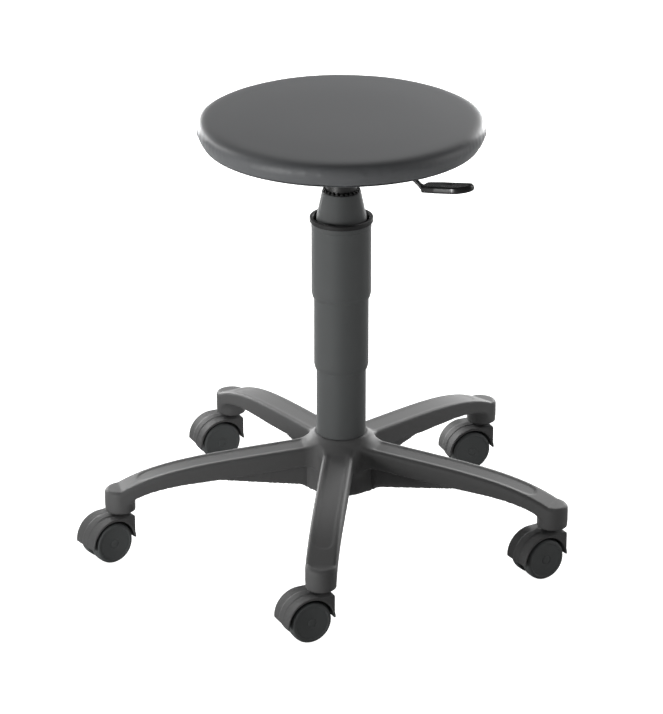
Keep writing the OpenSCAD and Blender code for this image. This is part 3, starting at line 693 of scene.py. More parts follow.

# colour, roughness, metallic, grain scale, pebble, grain depth, drift, edge highlight and wear colour, edge
# highlight and wear amount, dust,
# marks scale, stretch, marks depth
# the edge highlight and wear colour is painted on sharp edges: a painted highlight together with rubbed wear
FINISHES = {
    "leatherette": ((0.030, 0.0308, 0.0314), 0.33, 0, 1150, 0.8, 0.00004, 0.10,
                    (0.16, 0.16, 0.16), 0.1, 0.0, 0, 0, 0),
    "foam": ((0.75, 0.7, 0.5), 0.95, 0, 420, 0.5, 0.0006, 0.12,
             (0.8, 0.76, 0.6), 0.2, 0.0, 0, 0, 0),
    "plywood": ((0.62, 0.47, 0.31), 0.7, 0, 900, 0.0, 0.0001, 0.15,
                (0.7, 0.58, 0.42), 0.3, 0.0, 900, 0.05, 0.0002),
    "zinc_steel": ((0.56, 0.57, 0.58), 0.34, 1, 800, 0.3, 0.00003, 0.12,
                   (0.75, 0.75, 0.75), 0.3, 0.0, 500, 0.1, 0.00004),
    "black_cloth": ((0.02, 0.02, 0.022), 0.95, 0, 1500, 0.2, 0.0002, 0.3,
                    (0.05, 0.05, 0.05), 0.2, 0.02, 1200, 0.5, 0.0001),
    "black_steel": ((0.028, 0.028, 0.03), 0.42, 0, 1400, 0.35, 0.00006, 0.15,
                    (0.3, 0.3, 0.3), 0.35, 0.02, 0, 0, 0),
    "handle_plastic": ((0.014, 0.014, 0.015), 0.26, 0, 1300, 0.1, 0.00001, 0.12,
                       (0.06, 0.06, 0.06), 0.4, 0.01, 0, 0, 0),
    "chrome_rod": ((0.75, 0.76, 0.78), 0.12, 1, 900, 0.0, 0.00001, 0.05,
                   (0.85, 0.85, 0.85), 0.1, 0.0, 700, 0.05, 0.00001),
    "bushing_plastic": ((0.8, 0.79, 0.75), 0.5, 0, 1100, 0.1, 0.00004, 0.06,
                        (0.85, 0.84, 0.8), 0.2, 0.01, 0, 0, 0),
    "brass": ((0.72, 0.55, 0.28), 0.3, 1, 900, 0.0, 0.00002, 0.1,
              (0.85, 0.7, 0.4), 0.3, 0.0, 700, 0.05, 0.00004),
    "rubber": ((0.02, 0.02, 0.02), 0.8, 0, 1200, 0.2, 0.00008, 0.2,
               (0.05, 0.05, 0.05), 0.3, 0.02, 0, 0, 0),
    "cover_plastic": ((0.017, 0.0179, 0.0179), 0.37, 0, 1500, 0.1, 0.000014, 0.07,
                      (0.16, 0.165, 0.165), 0.35, 0.012, 0, 0, 0),
    "rim_black": ((0.009, 0.009, 0.009), 0.3, 0, 1400, 0.1, 0.00001, 0.15,
                  (0.05, 0.05, 0.05), 0.4, 0.01, 0, 0, 0),
    "base_nylon": ((0.016, 0.0168, 0.0168), 0.21, 0, 1300, 0.25, 0.00001, 0.08,
                   (0.19, 0.195, 0.195), 0.5, 0.02, 0, 0, 0),
    "caster_nylon": ((0.012, 0.0125, 0.0125), 0.27, 0, 1400, 0.15, 0.000012, 0.08,
                     (0.2, 0.2, 0.2), 0.5, 0.02, 0, 0, 0),
    "wheel_nylon": ((0.014, 0.0146, 0.0146), 0.38, 0, 1300, 0.2, 0.00002, 0.12,
                    (0.16, 0.16, 0.155), 0.5, 0.03, 0, 0, 0),
}


def use_group(tree, name, **inputs):
    node = tree.nodes.new("ShaderNodeGroup")
    node.node_tree = bpy.data.node_groups.get(name) or GROUPS[name]()
    for label, value in inputs.items():
        socket = node.inputs[label.replace("_", " ")]
        if isinstance(value, bpy.types.NodeSocket):
            tree.links.new(value, socket)
        else:
            socket.default_value = value
    return node


def finish_named(slot, colour=None):
    """The material of a slot of the record."""
    made = bpy.data.materials.get(slot)
    if made:
        return made
    (base, rough, metal, grain, pebble, depth, drift, highlight_and_wear_colour, highlight_and_wear_amount, dust,
     marks, stretch, mark_depth) = FINISHES[slot]
    base = colour or base
    made = bpy.data.materials.new(slot)
    made.use_nodes = True
    tree = made.node_tree
    link = tree.links.new
    shader = tree.nodes["Principled BSDF"]
    place = tree.nodes.new("ShaderNodeTexCoord").outputs["Object"]
    tone = use_group(tree, "Tone Drift", Vector=place, Colour=(*base, 1), Amount=drift)
    # painted highlight: sharp edges are tinted paler, standing in for edge highlights as well as rubbed wear
    highlight_and_wear = use_group(tree, "Edge Highlight And Wear", Vector=place, Colour=tone.outputs["Colour"],
                          Worn_Colour=(*highlight_and_wear_colour, 1), Amount=highlight_and_wear_amount)
    top = use_group(tree, "Settled Dust", Vector=place, Colour=highlight_and_wear.outputs["Colour"],
                    Amount=dust)
    relief = use_group(tree, "Surface Grain", Vector=place, Scale=grain, Pebble=pebble)
    rough_value = ranged(tree, relief.outputs["Mask"], 0.2, 0.8, rough - 0.04, rough + 0.05)
    rough_value = maths(tree, "ADD", rough_value, maths(
        tree, "MULTIPLY", top.outputs["Mask"], 0.5))
    bump = tree.nodes.new("ShaderNodeBump")
    bump.inputs["Distance"].default_value = depth
    bump.inputs["Strength"].default_value = 0.6
    link(relief.outputs["Height"], bump.inputs["Height"])
    normal = bump.outputs[0]
    if marks:
        strands = use_group(tree, "Long Marks", Vector=place, Scale=marks, Stretch=stretch)
        second = tree.nodes.new("ShaderNodeBump")
        second.inputs["Distance"].default_value = mark_depth
        second.inputs["Strength"].default_value = 0.5
        link(strands.outputs["Height"], second.inputs["Height"])
        link(normal, second.inputs["Normal"])
        normal = second.outputs[0]
        rough_value = maths(tree, "ADD", rough_value, maths(
            tree, "MULTIPLY", strands.outputs["Mask"], 0.08))
    link(top.outputs["Colour"], shader.inputs["Base Color"])
    link(rough_value, shader.inputs["Roughness"])
    link(normal, shader.inputs["Normal"])
    shader.inputs["Metallic"].default_value = metal
    made.diffuse_color = (*base, 1)
    return made


def settle_piece(piece, body, slot, *nodes):
    """Puts a finished piece on its body and hides the imported parts that it stands for; the slot is not used."""
    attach(piece, body)
    if nodes:
        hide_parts(*nodes)
    return piece


# ---------------------------------------------------------------- seat

def spline(points, per_span=6):
    """A smooth curve through the points."""
    pts = [np.array(p, float) for p in points]
    pts = [2 * pts[0] - pts[1], *pts, 2 * pts[-1] - pts[-2]]
    made = []
    for i in range(1, len(pts) - 2):
        a, b, c, d = pts[i - 1:i + 3]
        for k in range(per_span):
            t = k / per_span
            made.append(0.5 * ((2 * b) + (c - a) * t + (2 * a - 5 * b + 4 * c - d) * t ** 2
                               + (3 * b - a - 3 * c + d) * t ** 3))
    made.append(pts[-2])
    return made


def cushion_outline(inset):
    """The cushion from the edge of its underside, round its side and up to its crown."""
    low, high = lowest("seat_cover"), highest("seat_cover")
    radius, thick = outer_radius("seat_cover"), high[2] - low[2]
    middle, half = low[2] + thick / 2, 0.28 * thick
    board = outer_radius("seat_board")
    side = [(radius - 6 * MM * (1 - math.cos(a)), middle + half * math.sin(a))
            for a in np.radians([-60, -30, 0, 30, 60])]
    crown = [(radius * x, high[2] - 5.6 * MM * x ** 3) for x in (0.93, 0.8, 0.6, 0.4, 0.2)]
    outline = [(board + 3 * MM, low[2]), (radius - 5.5 * MM, low[2] + 2 * MM), *side,
               (radius - 6.5 * MM, high[2] - 5.7 * MM), *crown, (0, high[2])]
    curve = spline(outline)
    centre = np.array([0.8 * radius, middle])
    made = []
    for point in curve:
        out = point - centre
        out[0] = max(out[0], 0)
        length = max(np.linalg.norm(out), 1e-6)
        share = np.clip((point[1] - low[2] - 1 * MM) / (6 * MM), 0, 1)
        moved = point - share * inset * out / length
        made.append((max(moved[0], 0), max(moved[1], low[2])))
    return made


def neighbour_mean(mesh, values):
    """For each point of the mesh, the mean of the values at its neighbours."""
    ends = np.array([e.vertices[:] for e in mesh.edges])
    made = np.zeros_like(values)
    for axis in range(3):
        made[:, axis] = (np.bincount(ends[:, 0], values[ends[:, 1], axis], len(values))
                         + np.bincount(ends[:, 1], values[ends[:, 0], axis], len(values)))
    return made / np.bincount(ends.ravel(), minlength=len(values))[:, None]


def puff(piece, settings):
    """Remeshes the cushion and fills it by a cloth simulation with its underside held."""
    scene = bpy.context.scene
    voxel = piece.modifiers.new("voxel", "REMESH")
    voxel.mode = "VOXEL"
    voxel.voxel_size = settings.voxel
    applied(piece)
    mesh = piece.data
    start = np.array([v.co for v in mesh.vertices])
    floor = start[:, 2].min()
    held = piece.vertex_groups.new(name="held")
    held.add([int(i) for i in np.flatnonzero(start[:, 2] < floor + 2.5 * MM)], 1, "REPLACE")
    cloth = piece.modifiers.new("fill", "CLOTH")
    cloth.settings.quality = 6
    cloth.settings.mass = 0.3
    cloth.settings.tension_stiffness = 30
    cloth.settings.compression_stiffness = 30
    cloth.settings.use_pressure = True
    cloth.settings.uniform_pressure_force = settings.pressure
    cloth.settings.effector_weights.gravity = 0
    cloth.settings.vertex_group_mass = "held"
    cloth.point_cache.frame_start = 1
    cloth.point_cache.frame_end = 20
    for number in range(1, 21):
        scene.frame_set(number)
    graph = bpy.context.evaluated_depsgraph_get()
    shape = piece.evaluated_get(graph).data
    moved = np.array([v.co for v in shape.vertices]) - start
    piece.modifiers.clear()
    scene.frame_set(1)
    flat = start * [1, 1, 0]
    outward = flat / np.maximum(np.linalg.norm(flat, axis=1), 1e-6)[:, None]
    moved -= outward * np.minimum(np.sum(moved * outward, axis=1), 0)[:, None]
    for _ in range(settings.evenness):
        moved = neighbour_mean(mesh, moved)
    length = np.maximum(np.linalg.norm(moved, axis=1), 1e-9)
    capped = settings.swell * np.tanh(length / settings.swell)
    start = start + moved * (capped / length)[:, None]
    free = start[:, 2] > floor + 1.5 * MM
    for share in (0.5, -0.52) * 6:
        start[free] += share * (neighbour_mean(mesh, start) - start)[free]
    mesh.vertices.foreach_set("co", start.astype(np.float32).ravel())
    mesh.update()
    piece.vertex_groups.clear()
    finer = piece.modifiers.new("finer", "SUBSURF")
    finer.levels = finer.render_levels = 1
    applied(piece)
    for face in piece.data.polygons:
        face.use_smooth = True


class STOOL_OT_seat(bpy.types.Operator):
    """Build the cushion, its turned-in hem, the underside cloth and its staples"""
    bl_idname = "stool.seat"
    bl_label = "Build Seat"

    def execute(self, context):
        settings = context.scene.stool_seat
        leather = finish_named("leatherette", tuple(settings.colour))
        outline = cushion_outline(settings.inset)
        outline = [(0, outline[0][1]), *[(0.16 * k * outline[0][0], outline[0][1])
                                         for k in range(1, 6)], *outline]
        verts, faces = lathe_mesh(outline, 120)
        cushion = new_piece("seat_cushion", verts, faces, leather)
        puff(cushion, settings)
        settle_piece(cushion, "seat", "leatherette", "seat_cover", "seat_foam")
        self.hem(settings, leather)
        self.dust_cloth(settings)
        self.staples(settings)
        return {"FINISHED"}

    def hem(self, settings, leather):
        under = lowest("seat_cover")[2]
        board = outer_radius("seat_board")
        cloth = outer_radius("underside_cloth")
        seed_point = bpy.data.objects.new("hem_source", bpy.data.meshes.new("hem_source"))
        bpy.context.scene.collection.objects.link(seed_point)
        hem = grown("seat_hem", seed_point, "Pleated Hem", Inner_Radius=cloth - 17 * MM,
                    Outer_Radius=board + 0.4 * MM, Height=float(under) + 0.1 * MM,
                    Pleats=settings.pleats, Depth=1.3 * MM, Clamp_Radius=cloth, Seed=7,
                    Material=leather)
        skin = hem.modifiers.new("skin", "SOLIDIFY")
        skin.thickness = 0.9 * MM
        skin.offset = 1
        applied(hem)
        flip_if_inside_out(hem)
        settle_piece(hem, "seat", "leatherette")

    def dust_cloth(self, settings):
        low, high = lowest("underside_cloth"), highest("underside_cloth")
        radius, thick = outer_radius("underside_cloth"), 0.6 * MM
        plate = 0.5 * math.hypot(*(highest("mounting_plate") - lowest("mounting_plate"))[:2])
        rings, turns = 46, 180
        verts, faces = [], []
        for side in (1, -1):
            for i in range(rings + 1):
                r = radius * i / rings
                for k in range(turns):
                    a = 2 * math.pi * k / turns
                    x, y = r * math.cos(a), r * math.sin(a)
                    drop = np.clip((r - 0.1305) / 2.5 / MM, 0, 1) * (0.9 * MM)
                    slack = np.clip((r - plate * 0.72) / (12 * MM), 0, 1)
                    slack *= np.clip((radius - 9 * MM - r) / (12 * MM), 0, 1)
                    ridge = abs(noise.noise(Vector((x * 22, y * 22, 3.1)))) + 0.5 * abs(
                        noise.noise(Vector((x * 60, y * 60, 8.7))))
                    z = high[2] - 0.1 * MM - drop - slack * ridge * 1.1 * MM
                    verts.append((x, y, z - (thick if side < 0 else 0)))
        layer = (rings + 1) * turns
        for side in (0, 1):
            for i in range(rings):
                for k in range(turns):
                    n = (k + 1) % turns
                    quad = [i * turns + k, i * turns + n, (i + 1) * turns + n, (i + 1) * turns + k]
                    faces.append([side * layer + q for q in quad])
        for k in range(turns):
            n = (k + 1) % turns
            faces.append([rings * turns + k, rings * turns + n,
                          layer + rings * turns + n, layer + rings * turns + k])
        cloth = new_piece("dust_cloth", verts, faces, finish_named("black_cloth"), 60)
        settle_piece(cloth, "seat", "black_cloth", "underside_cloth")

    def staples(self, settings):
        low, high = lowest("staples"), highest("staples")
        ring = (high[0] - low[0]) / 2 - 0.35 * MM
        crown = block((0.7 * MM, 10.2 * MM, 0.7 * MM), (0, 0, low[2] + 0.35 * MM), 0.2 * MM)
        legs = [block((0.7 * MM, 1.0 * MM, 7 * MM), (0, side * 4.6 * MM, low[2] + 3.6 * MM),
                      0.2 * MM) for side in (1, -1)]
        one = join("one_staple", [crown, *legs], None)
        made = grown("cloth_staples", one, "Ring of Parts", Count=settings.staples,
                     Radius=float(ring), Height=0.0, Turn=0.0,
                     Material=finish_named("zinc_steel"))
        settle_piece(made, "seat", "zinc_steel", "staples")


def flip_if_inside_out(piece):
    """Turns a closed shell's faces out, going by its signed volume."""
    solid = bmesh.new()
    solid.from_mesh(piece.data)
    if solid.calc_volume(signed=True) < 0:
        bmesh.ops.reverse_faces(solid, faces=solid.faces)
    solid.to_mesh(piece.data)
    solid.free()


# ---------------------------------------------------------------- mechanism and lever

LEVER_TURN = math.atan2(*(lowest("lever_handle") + highest("lever_handle"))[[1, 0]])


class STOOL_OT_mechanism(bpy.types.Operator):
    """Build the bolts and washers of the seat plate"""
    bl_idname = "stool.mechanism"
    bl_label = "Build Seat Fixings"

    def execute(self, context):
        zinc = finish_named("zinc_steel")
        low, high = lowest("plate_screws"), highest("plate_screws")
        pitch = 0.5 * MM * 100 * math.sqrt(2)
        head = [(0, low[2]), (4.2 * MM, low[2]), (5.0 * MM, low[2] + 0.5 * MM),
                (5.0 * MM, low[2] + 4 * MM), (0, low[2] + 4 * MM)]
        verts, faces = lathe_mesh(head, 6)
        cap = new_piece("cap", verts, faces, None, 20)
        shank = [(0, low[2] + 3.9 * MM), (3 * MM, low[2] + 3.9 * MM),
                 (3 * MM, high[2] - 0.8 * MM), (2.3 * MM, high[2]), (0, high[2])]
        verts, faces = lathe_mesh(shank, 32)
        bolt = join("bolt", [cap, new_piece("shank", verts, faces)], None)
        turn = LEVER_TURN + math.pi / 4
        bolts = grown("plate_bolts", bolt, "Ring of Parts", Count=4, Radius=pitch, Height=0.0,
                      Turn=turn, Material=zinc)
        settle_piece(bolts, "seat", "zinc_steel", "plate_screws")
        low, high = lowest("plate_washers"), highest("plate_washers")
        verts, faces = lathe_mesh(rounded(
            [(3.2 * MM, low[2]), (6 * MM, low[2]), (6 * MM, high[2]), (3.2 * MM, high[2])],
            0.3 * MM, 2), 32)
        washers = grown("bolt_washers", new_piece("washer", verts, faces), "Ring of Parts",
                        Count=4, Radius=pitch, Height=0.0, Turn=turn, Material=zinc)
        settle_piece(washers, "seat", "zinc_steel", "plate_washers")
        return {"FINISHED"}


def turned(verts, angle, shift=(0, 0, 0)):
    c, s = math.cos(angle), math.sin(angle)
    spin = np.array([[c, -s, 0], [s, c, 0], [0, 0, 1]])
    return verts @ spin.T + np.array(shift)


class STOOL_OT_lever(bpy.types.Operator):
    """Build the height lever: the bent rod with its eye and arm, and the moulded handle"""
    bl_idname = "stool.lever"
    bl_label = "Build Lever"

    def execute(self, context):
        settings = context.scene.stool_lever
        pivot = np.array(JOINTS["lever_pull"]["pos_m"])
        pivot_x, pivot_z = math.hypot(pivot[0], pivot[1]), pivot[2]
        reach = 179 * MM
        slope = math.radians(9)
        long, wide, thick = 64 * MM, 24 * MM, 9 * MM
        start_x = reach - long * math.cos(slope)
        start_z = pivot_z + 8.2 * MM - 35.9 * MM
        rod = 0.5 * 6 * MM
        path = np.array([[pivot_x, pivot_z], [84 * MM, pivot_z - 8 * MM],
                         [start_x - 3 * MM, start_z - 3 * MM * math.tan(slope)],
                         [start_x + 24 * MM * math.cos(slope),
                          start_z + 24 * MM * math.sin(slope)]])
        button = highest("release_pin")[2] + 0.3 * MM

        def rod_field(x, y, z):
            made = None
            for a, b in zip(path[:-1], path[1:]):
                ax, az = x - a[0], z - a[1]
                dx, dz = b - a
                t = np.clip((ax * dx + az * dz) / (dx * dx + dz * dz), 0, 1)
                d = np.sqrt((ax - t * dx) ** 2 + (az - t * dz) ** 2 + y ** 2) - rod
                made = d if made is None else smooth_min(made, d, 2.5 * MM)
            eye = smooth_max(np.hypot(x - pivot_x, z - pivot_z) - 6.5 * MM,
                             np.abs(y) - 8 * MM, 0.8 * MM)
            arm = smooth_max(np.maximum(button - z, z - button - 4 * MM), np.maximum(
                np.abs(y) - 4 * MM, np.maximum(-4 * MM - x, x - pivot_x)), 0.8 * MM)
            made = smooth_min(smooth_min(made, eye, 1.5 * MM), arm, 1.0 * MM)
            return smooth_max(made, 3.06 * MM - np.hypot(x - pivot_x, z - pivot_z), 0.3 * MM)

        verts, faces = surface_of(
            rod_field, (-5 * MM, -9 * MM, start_z - 5 * MM),
            (start_x + 28 * MM, 9 * MM, pivot_z + 7 * MM), settings.step)
        arm = new_piece("lever_arm", turned(verts, LEVER_TURN), faces, finish_named("black_steel"))
        settle_piece(arm, "lever", "black_steel", "lever_rod")

        def handle_field(x, y, z):
            u = np.clip(x / (0.3 * long), 0, 1)
            half = wide * (0.4 + 0.1 * u ** 0.7)
            far = smooth_max(y - half, x - long, 7 * MM)
            bend_x, bend_y = 22 * MM, 17 * MM
            out = np.hypot(np.maximum(x - long + bend_x, 0) / bend_x,
                           np.maximum(bend_y - half - y, 0) / bend_y)
            near = np.maximum((out - 1) * bend_y, x - long)
            side = np.maximum(far, near)
            top = thick / 2 - settings.dish * np.exp(
                -((x - 0.62 * long) / (0.26 * long)) ** 2 - (y / (0.34 * wide)) ** 2)
            body = smooth_max(side, np.abs(z) - thick / 2, 3.2 * MM)
            body = smooth_max(body, z - top, 1.2 * MM)
            body = smooth_max(body, -x, 1.0 * MM)
            return smooth_max(body, np.maximum(
                np.hypot(y, z) - rod - 0.05 * MM, x - 27 * MM) * -1, 0.2 * MM)

        verts, faces = surface_of(
            handle_field, (0, -wide / 2, -thick / 2), (long, wide / 2, thick / 2), settings.step)
        c, s = math.cos(slope), math.sin(slope)
        tilt = np.array([[c, 0, -s], [0, 1, 0], [s, 0, c]])
        verts = verts @ tilt.T + [start_x, 0, start_z]
        handle = new_piece("lever_paddle", turned(verts, LEVER_TURN), faces,
                           finish_named("handle_plastic"), 50)
        settle_piece(handle, "lever", "handle_plastic", "lever_handle")
        return {"FINISHED"}


# ---------------------------------------------------------------- telescopic cover

class STOOL_OT_column(bpy.types.Operator):
    """Build the cone, its toothed grip ring, the rim ring and the three cover tubes"""
    bl_idname = "stool.column"
    bl_label = "Build Column Cover"

    def execute(self, context):
        settings = context.scene.stool_column
        grey = finish_named("cover_plastic", tuple(settings.colour))
        self.cone(settings, grey)
        self.grip_ring(settings)
        self.rim(settings)
        self.tubes(settings, grey)
        return {"FINISHED"}

    def cone(self, settings, grey):
        low, high = lowest("cover_cone")[2], highest("cover_cone")[2]
        foot = outer_radius("cover_cone")
        top_r, flare, wall = 23.65 * MM, 0.185, 2 * MM
        outside = [(top_r + flare * (high - z) + 0.5 * MM * math.sin(
            math.pi * (high - z) / (high - low)) ** 2, z)
            for z in np.linspace(high, low + 3 * MM, 12)]
        inside = [(r - wall, z) for r, z in outside[::-1]]
        outline = [*outside, (foot, low + 3 * MM), (foot, low), (inside[0][0], low), *inside]
        piece = lathe("cone_cover", outline, grey, settings.edge, 128, 3)
        settle_piece(piece, "seat", "cover_plastic", "cover_cone")

    def grip_ring(self, settings):
        low, high = lowest("cone_grip_ring")[2], highest("cone_grip_ring")[2]
        bore, out = 19 * MM, outer_radius("cone_grip_ring")
        seat = low + 7 * MM
        outline = [(bore, low), (21.7 * MM, low), (21.65 * MM, seat), (out, seat),
                   (out, seat + 0.9 * MM), (bore, seat + 0.9 * MM)]
        ring = lathe("ring", outline, None, 0.3 * MM, 96, 2)
        tooth_w = 2 * math.pi * 21 * MM / settings.teeth * 0.62
        tooth = block((out - bore - 0.5 * MM, tooth_w, high - seat - 0.4 * MM),
                      ((out + bore) / 2, 0, (high + seat + 0.4 * MM) / 2), 0.5 * MM)
        teeth = grown("teeth", tooth, "Ring of Parts", Count=settings.teeth, Radius=0.0,
                      Height=0.0, Turn=0.0, Material=finish_named("rim_black"))
        piece = join("cone_teeth_ring", [ring, teeth], finish_named("rim_black"))
        settle_piece(piece, "seat", "rim_black", "cone_grip_ring")

    def rim(self, settings):
        low, high = lowest("rim_ring")[2], highest("rim_ring")[2]
        out = outer_radius("rim_ring")
        tube = outer_radius("cover_top_tube")
        inner = tube - 2 * MM
        seat = highest("cover_top_tube")[2]
        outline = [(inner, seat), (tube, seat), (tube, low), (out, low), (out, high),
                   (inner, high)]
        piece = lathe("rim_band", outline, finish_named("rim_black"), 0.9 * MM, 128, 4)
        settle_piece(piece, "seat", "rim_black", "rim_ring")

    def tubes(self, settings, grey):
        wall, lip, chamfer = 2 * MM, 3 * MM, 6 * MM
        gap = 0.35 * MM
        top, mid, low_r = 36.5 * MM, 33.5 * MM, 30.5 * MM
        plan = [("tube_top", "cover_top_tube", "seat", top, mid + gap, 0),
                ("tube_mid", "cover_mid_tube", "cover_mid", mid, low_r + gap, top - wall - gap)]
        for name, node, body, r, guide, upper in plan:
            end, head = lowest(node)[2], highest(node)[2]
            bead = [(r, head - 9 * MM), (r + 0.25 * MM, head - 9.6 * MM),
                    (r + 0.25 * MM, head - 10.4 * MM), (r, head - 11 * MM)] if not upper else []
            outline = [(guide, end), (r - 1.5 * MM, end), (r, end + chamfer),
                       *(bead[::-1] if bead else []),
                       *([(r, head - lip), (upper, head - lip), (upper, head)] if upper
                         else [(r, head)]),
                       (r - wall, head), (r - wall, end + chamfer), (guide, end + lip)]
            piece = lathe(name, outline, grey, settings.edge, 128, 3)
            settle_piece(piece, body, "cover_plastic", node)
        end, head = lowest("cover_low_tube")[2], highest("cover_low_tube")[2]
        upper = mid - wall - gap
        outline = [(low_r - wall, end), (low_r, end), (low_r, head - lip), (upper, head - lip),
                   (upper, head), (low_r - wall, head)]
        piece = lathe("tube_low", outline, grey, settings.edge, 128, 3)
        settle_piece(piece, "base", "cover_plastic", "cover_low_tube")


# ---------------------------------------------------------------- base

LEG_TURNS = [math.atan2(*JOINTS[f"caster_swivel_{i}"]["pos_m"][1::-1]) for i in range(1, 6)]
LEG_R = math.hypot(*JOINTS["caster_swivel_1"]["pos_m"][:2])


def base_field(settings):
    """The signed distance of the five-leg moulding, folded onto one leg and its neighbour."""
    blend, edge, panel = settings.blend, settings.edge, settings.panel
    half, wall, deepest = 18.75 * MM, 4 * MM, 24 * MM
    floor, hub_low, hub_high = lowest("star_base")[2], 66 * MM, highest("star_base")[2]
    hub_r, sleeve_r, web_end = 41 * MM, outer_radius("hub_sleeve"), 190 * MM
    first = LEG_TURNS[0]

    def leg_top(x):
        return 129 * MM - 0.07 * x - 20 * MM * (np.clip(x, 0, LEG_R) / LEG_R) ** 6

    def leg_depth(x):
        along = np.clip((x - 130 * MM) / (LEG_R - 150 * MM), 0, 1)
        return deepest - 6.5 * MM * along ** 2 * (3 - 2 * along)

    def one_leg(x, y, z):
        top = leg_top(x)
        slope = np.sqrt(1 + (0.07 + 120 * MM / LEG_R * (np.clip(x, 0, LEG_R) / LEG_R) ** 5) ** 2)
        above = (z - top) / slope
        below = (top - leg_depth(x) - z) / slope
        y_abs = np.abs(y)
        out = np.hypot(x - LEG_R, y)
        plan = np.where(x > LEG_R, out, y_abs) - half
        nose = smooth_max(out - half, floor - z, 1.6 * MM)
        made = smooth_max(plan, smooth_min(below, nose, 9 * MM), 1.6 * MM)
        made = smooth_max(made, above, edge)
        rise = leg_top(web_end) - leg_depth(web_end) - hub_low - 3 * MM
        share = np.clip((x - hub_r) / (web_end - hub_r), 0, 1)
        keel_low = hub_low + 3 * MM + rise * share ** 1.05
        keel = smooth_max(y_abs - 2.5 * MM, np.maximum(keel_low - z, z - top + wall), 1 * MM)
        keel = np.maximum(keel, x - web_end)
        made = smooth_min(made, keel, 2.5 * MM)
        dish = smooth_max(y_abs - half + 7.5 * MM, np.where(
            x > LEG_R - 34 * MM, np.hypot(x - LEG_R + 34 * MM, y) - half + 7.5 * MM,
            hub_r + 6 * MM - x), 2 * MM)
        made = smooth_max(made, -smooth_max(dish, -above - panel, 1.2 * MM), 1.2 * MM)
        return made

    def pockets(x, y, z):
        top = leg_top(x)
        y_abs = np.abs(y)
        made = np.maximum(np.maximum(2.5 * MM - y_abs, y_abs - half + wall), z - top + wall)
        made = np.maximum(np.maximum(made, hub_r + 2 * MM - x), x - LEG_R + half + 2 * MM)
        for share in (0.32, 0.47, 0.62, 0.77):
            rib = np.abs(x - share * LEG_R - 1.25 * MM) - 1.25 * MM
            made = np.maximum(made, -rib)
        return made

    def field(x, y, z):
        r = np.hypot(x, y)
        angle = np.arctan2(y, x) - first
        step = 2 * math.pi / 5
        near = angle - step * np.round(angle / step)
        other = near - step * np.where(near >= 0, 1, -1)
        a = one_leg(r * np.cos(near), r * np.sin(near), z)
        b = one_leg(r * np.cos(other), r * np.sin(other), z)
        shoulder = ((r - 32.5 * MM) * 11 + (z - hub_high) * 6.5) / 12.78
        hub = smooth_max(smooth_max(r - hub_r, shoulder, 5 * MM), z - hub_high, 1 * MM)
        hub = smooth_max(hub, hub_low - z, 3 * MM)
        made = smooth_min(smooth_min(a, b, 10 * MM), hub, blend)
        made = smooth_max(made, hub_low - z - 400 * MM * (r > 60 * MM), 1 * MM)
        made = smooth_max(made, z - hub_high, 0.8 * MM)
        made = smooth_max(made, -pockets(r * np.cos(near), r * np.sin(near), z), 1 * MM)
        made = smooth_max(made, sleeve_r - r, 0.6 * MM)
        socket = np.maximum(np.hypot(r * np.cos(near) - LEG_R, r * np.sin(near)) - 7.5 * MM,
                            z - floor - 24 * MM)
        return smooth_max(made, -socket, 0.6 * MM)

    return field


class STOOL_OT_base(bpy.types.Operator):
    """Build the five-leg base moulding"""
    bl_idname = "stool.base"
    bl_label = "Build Base"

    def execute(self, context):
        settings = context.scene.stool_base
        low, high = lowest("star_base"), highest("star_base")
        verts, faces = surface_of(base_field(settings), low, high, settings.step)
        piece = new_piece("base_moulding", verts, faces,
                          finish_named("base_nylon", tuple(settings.colour)), 50)
        settle_piece(piece, "base", "base_nylon", "star_base")
        return {"FINISHED"}


# ---------------------------------------------------------------- casters

AXLE = np.array(JOINTS["wheel_spin_a_1"]["pos_m"])
AXLE_Z = AXLE[2]
WHEEL_R = AXLE_Z
TRAIL = math.hypot(*(AXLE - np.array(JOINTS["caster_swivel_1"]["pos_m"]))[:2])
WHEEL_IN, WHEEL_W = 5.2 * MM, 14.5 * MM
SOCKET_Z = lowest("star_base")[2]


def hood_field(x, y, z):
    """The signed distance of a caster's hood, trailing along +X from its stem."""
    out_r, in_r, front, tip = AXLE_Z + 5.2 * MM, AXLE_Z + 2.8 * MM, 9 * MM, AXLE_Z + 1 * MM
    half = WHEEL_IN + WHEEL_W + 0.5 * MM
    out = np.hypot(x - TRAIL, z - AXLE_Z)
    corner = smooth_max(-front - x, z - AXLE_Z - out_r, 3 * MM)
    corner = np.maximum(corner, np.maximum(x - TRAIL, tip - z))
    outline = np.minimum(out - out_r, corner)
    shell = smooth_max(outline, in_r - out, 0.6 * MM)
    shell = smooth_max(shell, np.where(x < TRAIL, tip - z, AXLE_Z - 2 * MM - z), 0.5 * MM)
    shell = smooth_max(shell, np.abs(y) - half, 1.6 * MM)
    plate = np.minimum(out - 10 * MM, np.maximum(tip - z, -front - x))
    web = smooth_max(np.maximum(plate, outline), np.abs(y) - 4.8 * MM, 0.8 * MM)
    made = smooth_min(shell, web, 1.6 * MM)
    top = SOCKET_Z - 2 * MM
    boss = smooth_max(np.hypot(x, y) - front, np.maximum(z - top, top - 7 * MM - z), 0.6 * MM)
    made = smooth_min(made, boss, 1.2 * MM)
    stem = np.where(z > top - 9 * MM, 5.06 * MM, 2.86 * MM) - np.hypot(x, y)
    made = np.maximum(made, np.where(z > AXLE_Z + 7 * MM, stem, -1))
    return np.maximum(made, 3.02 * MM - out)


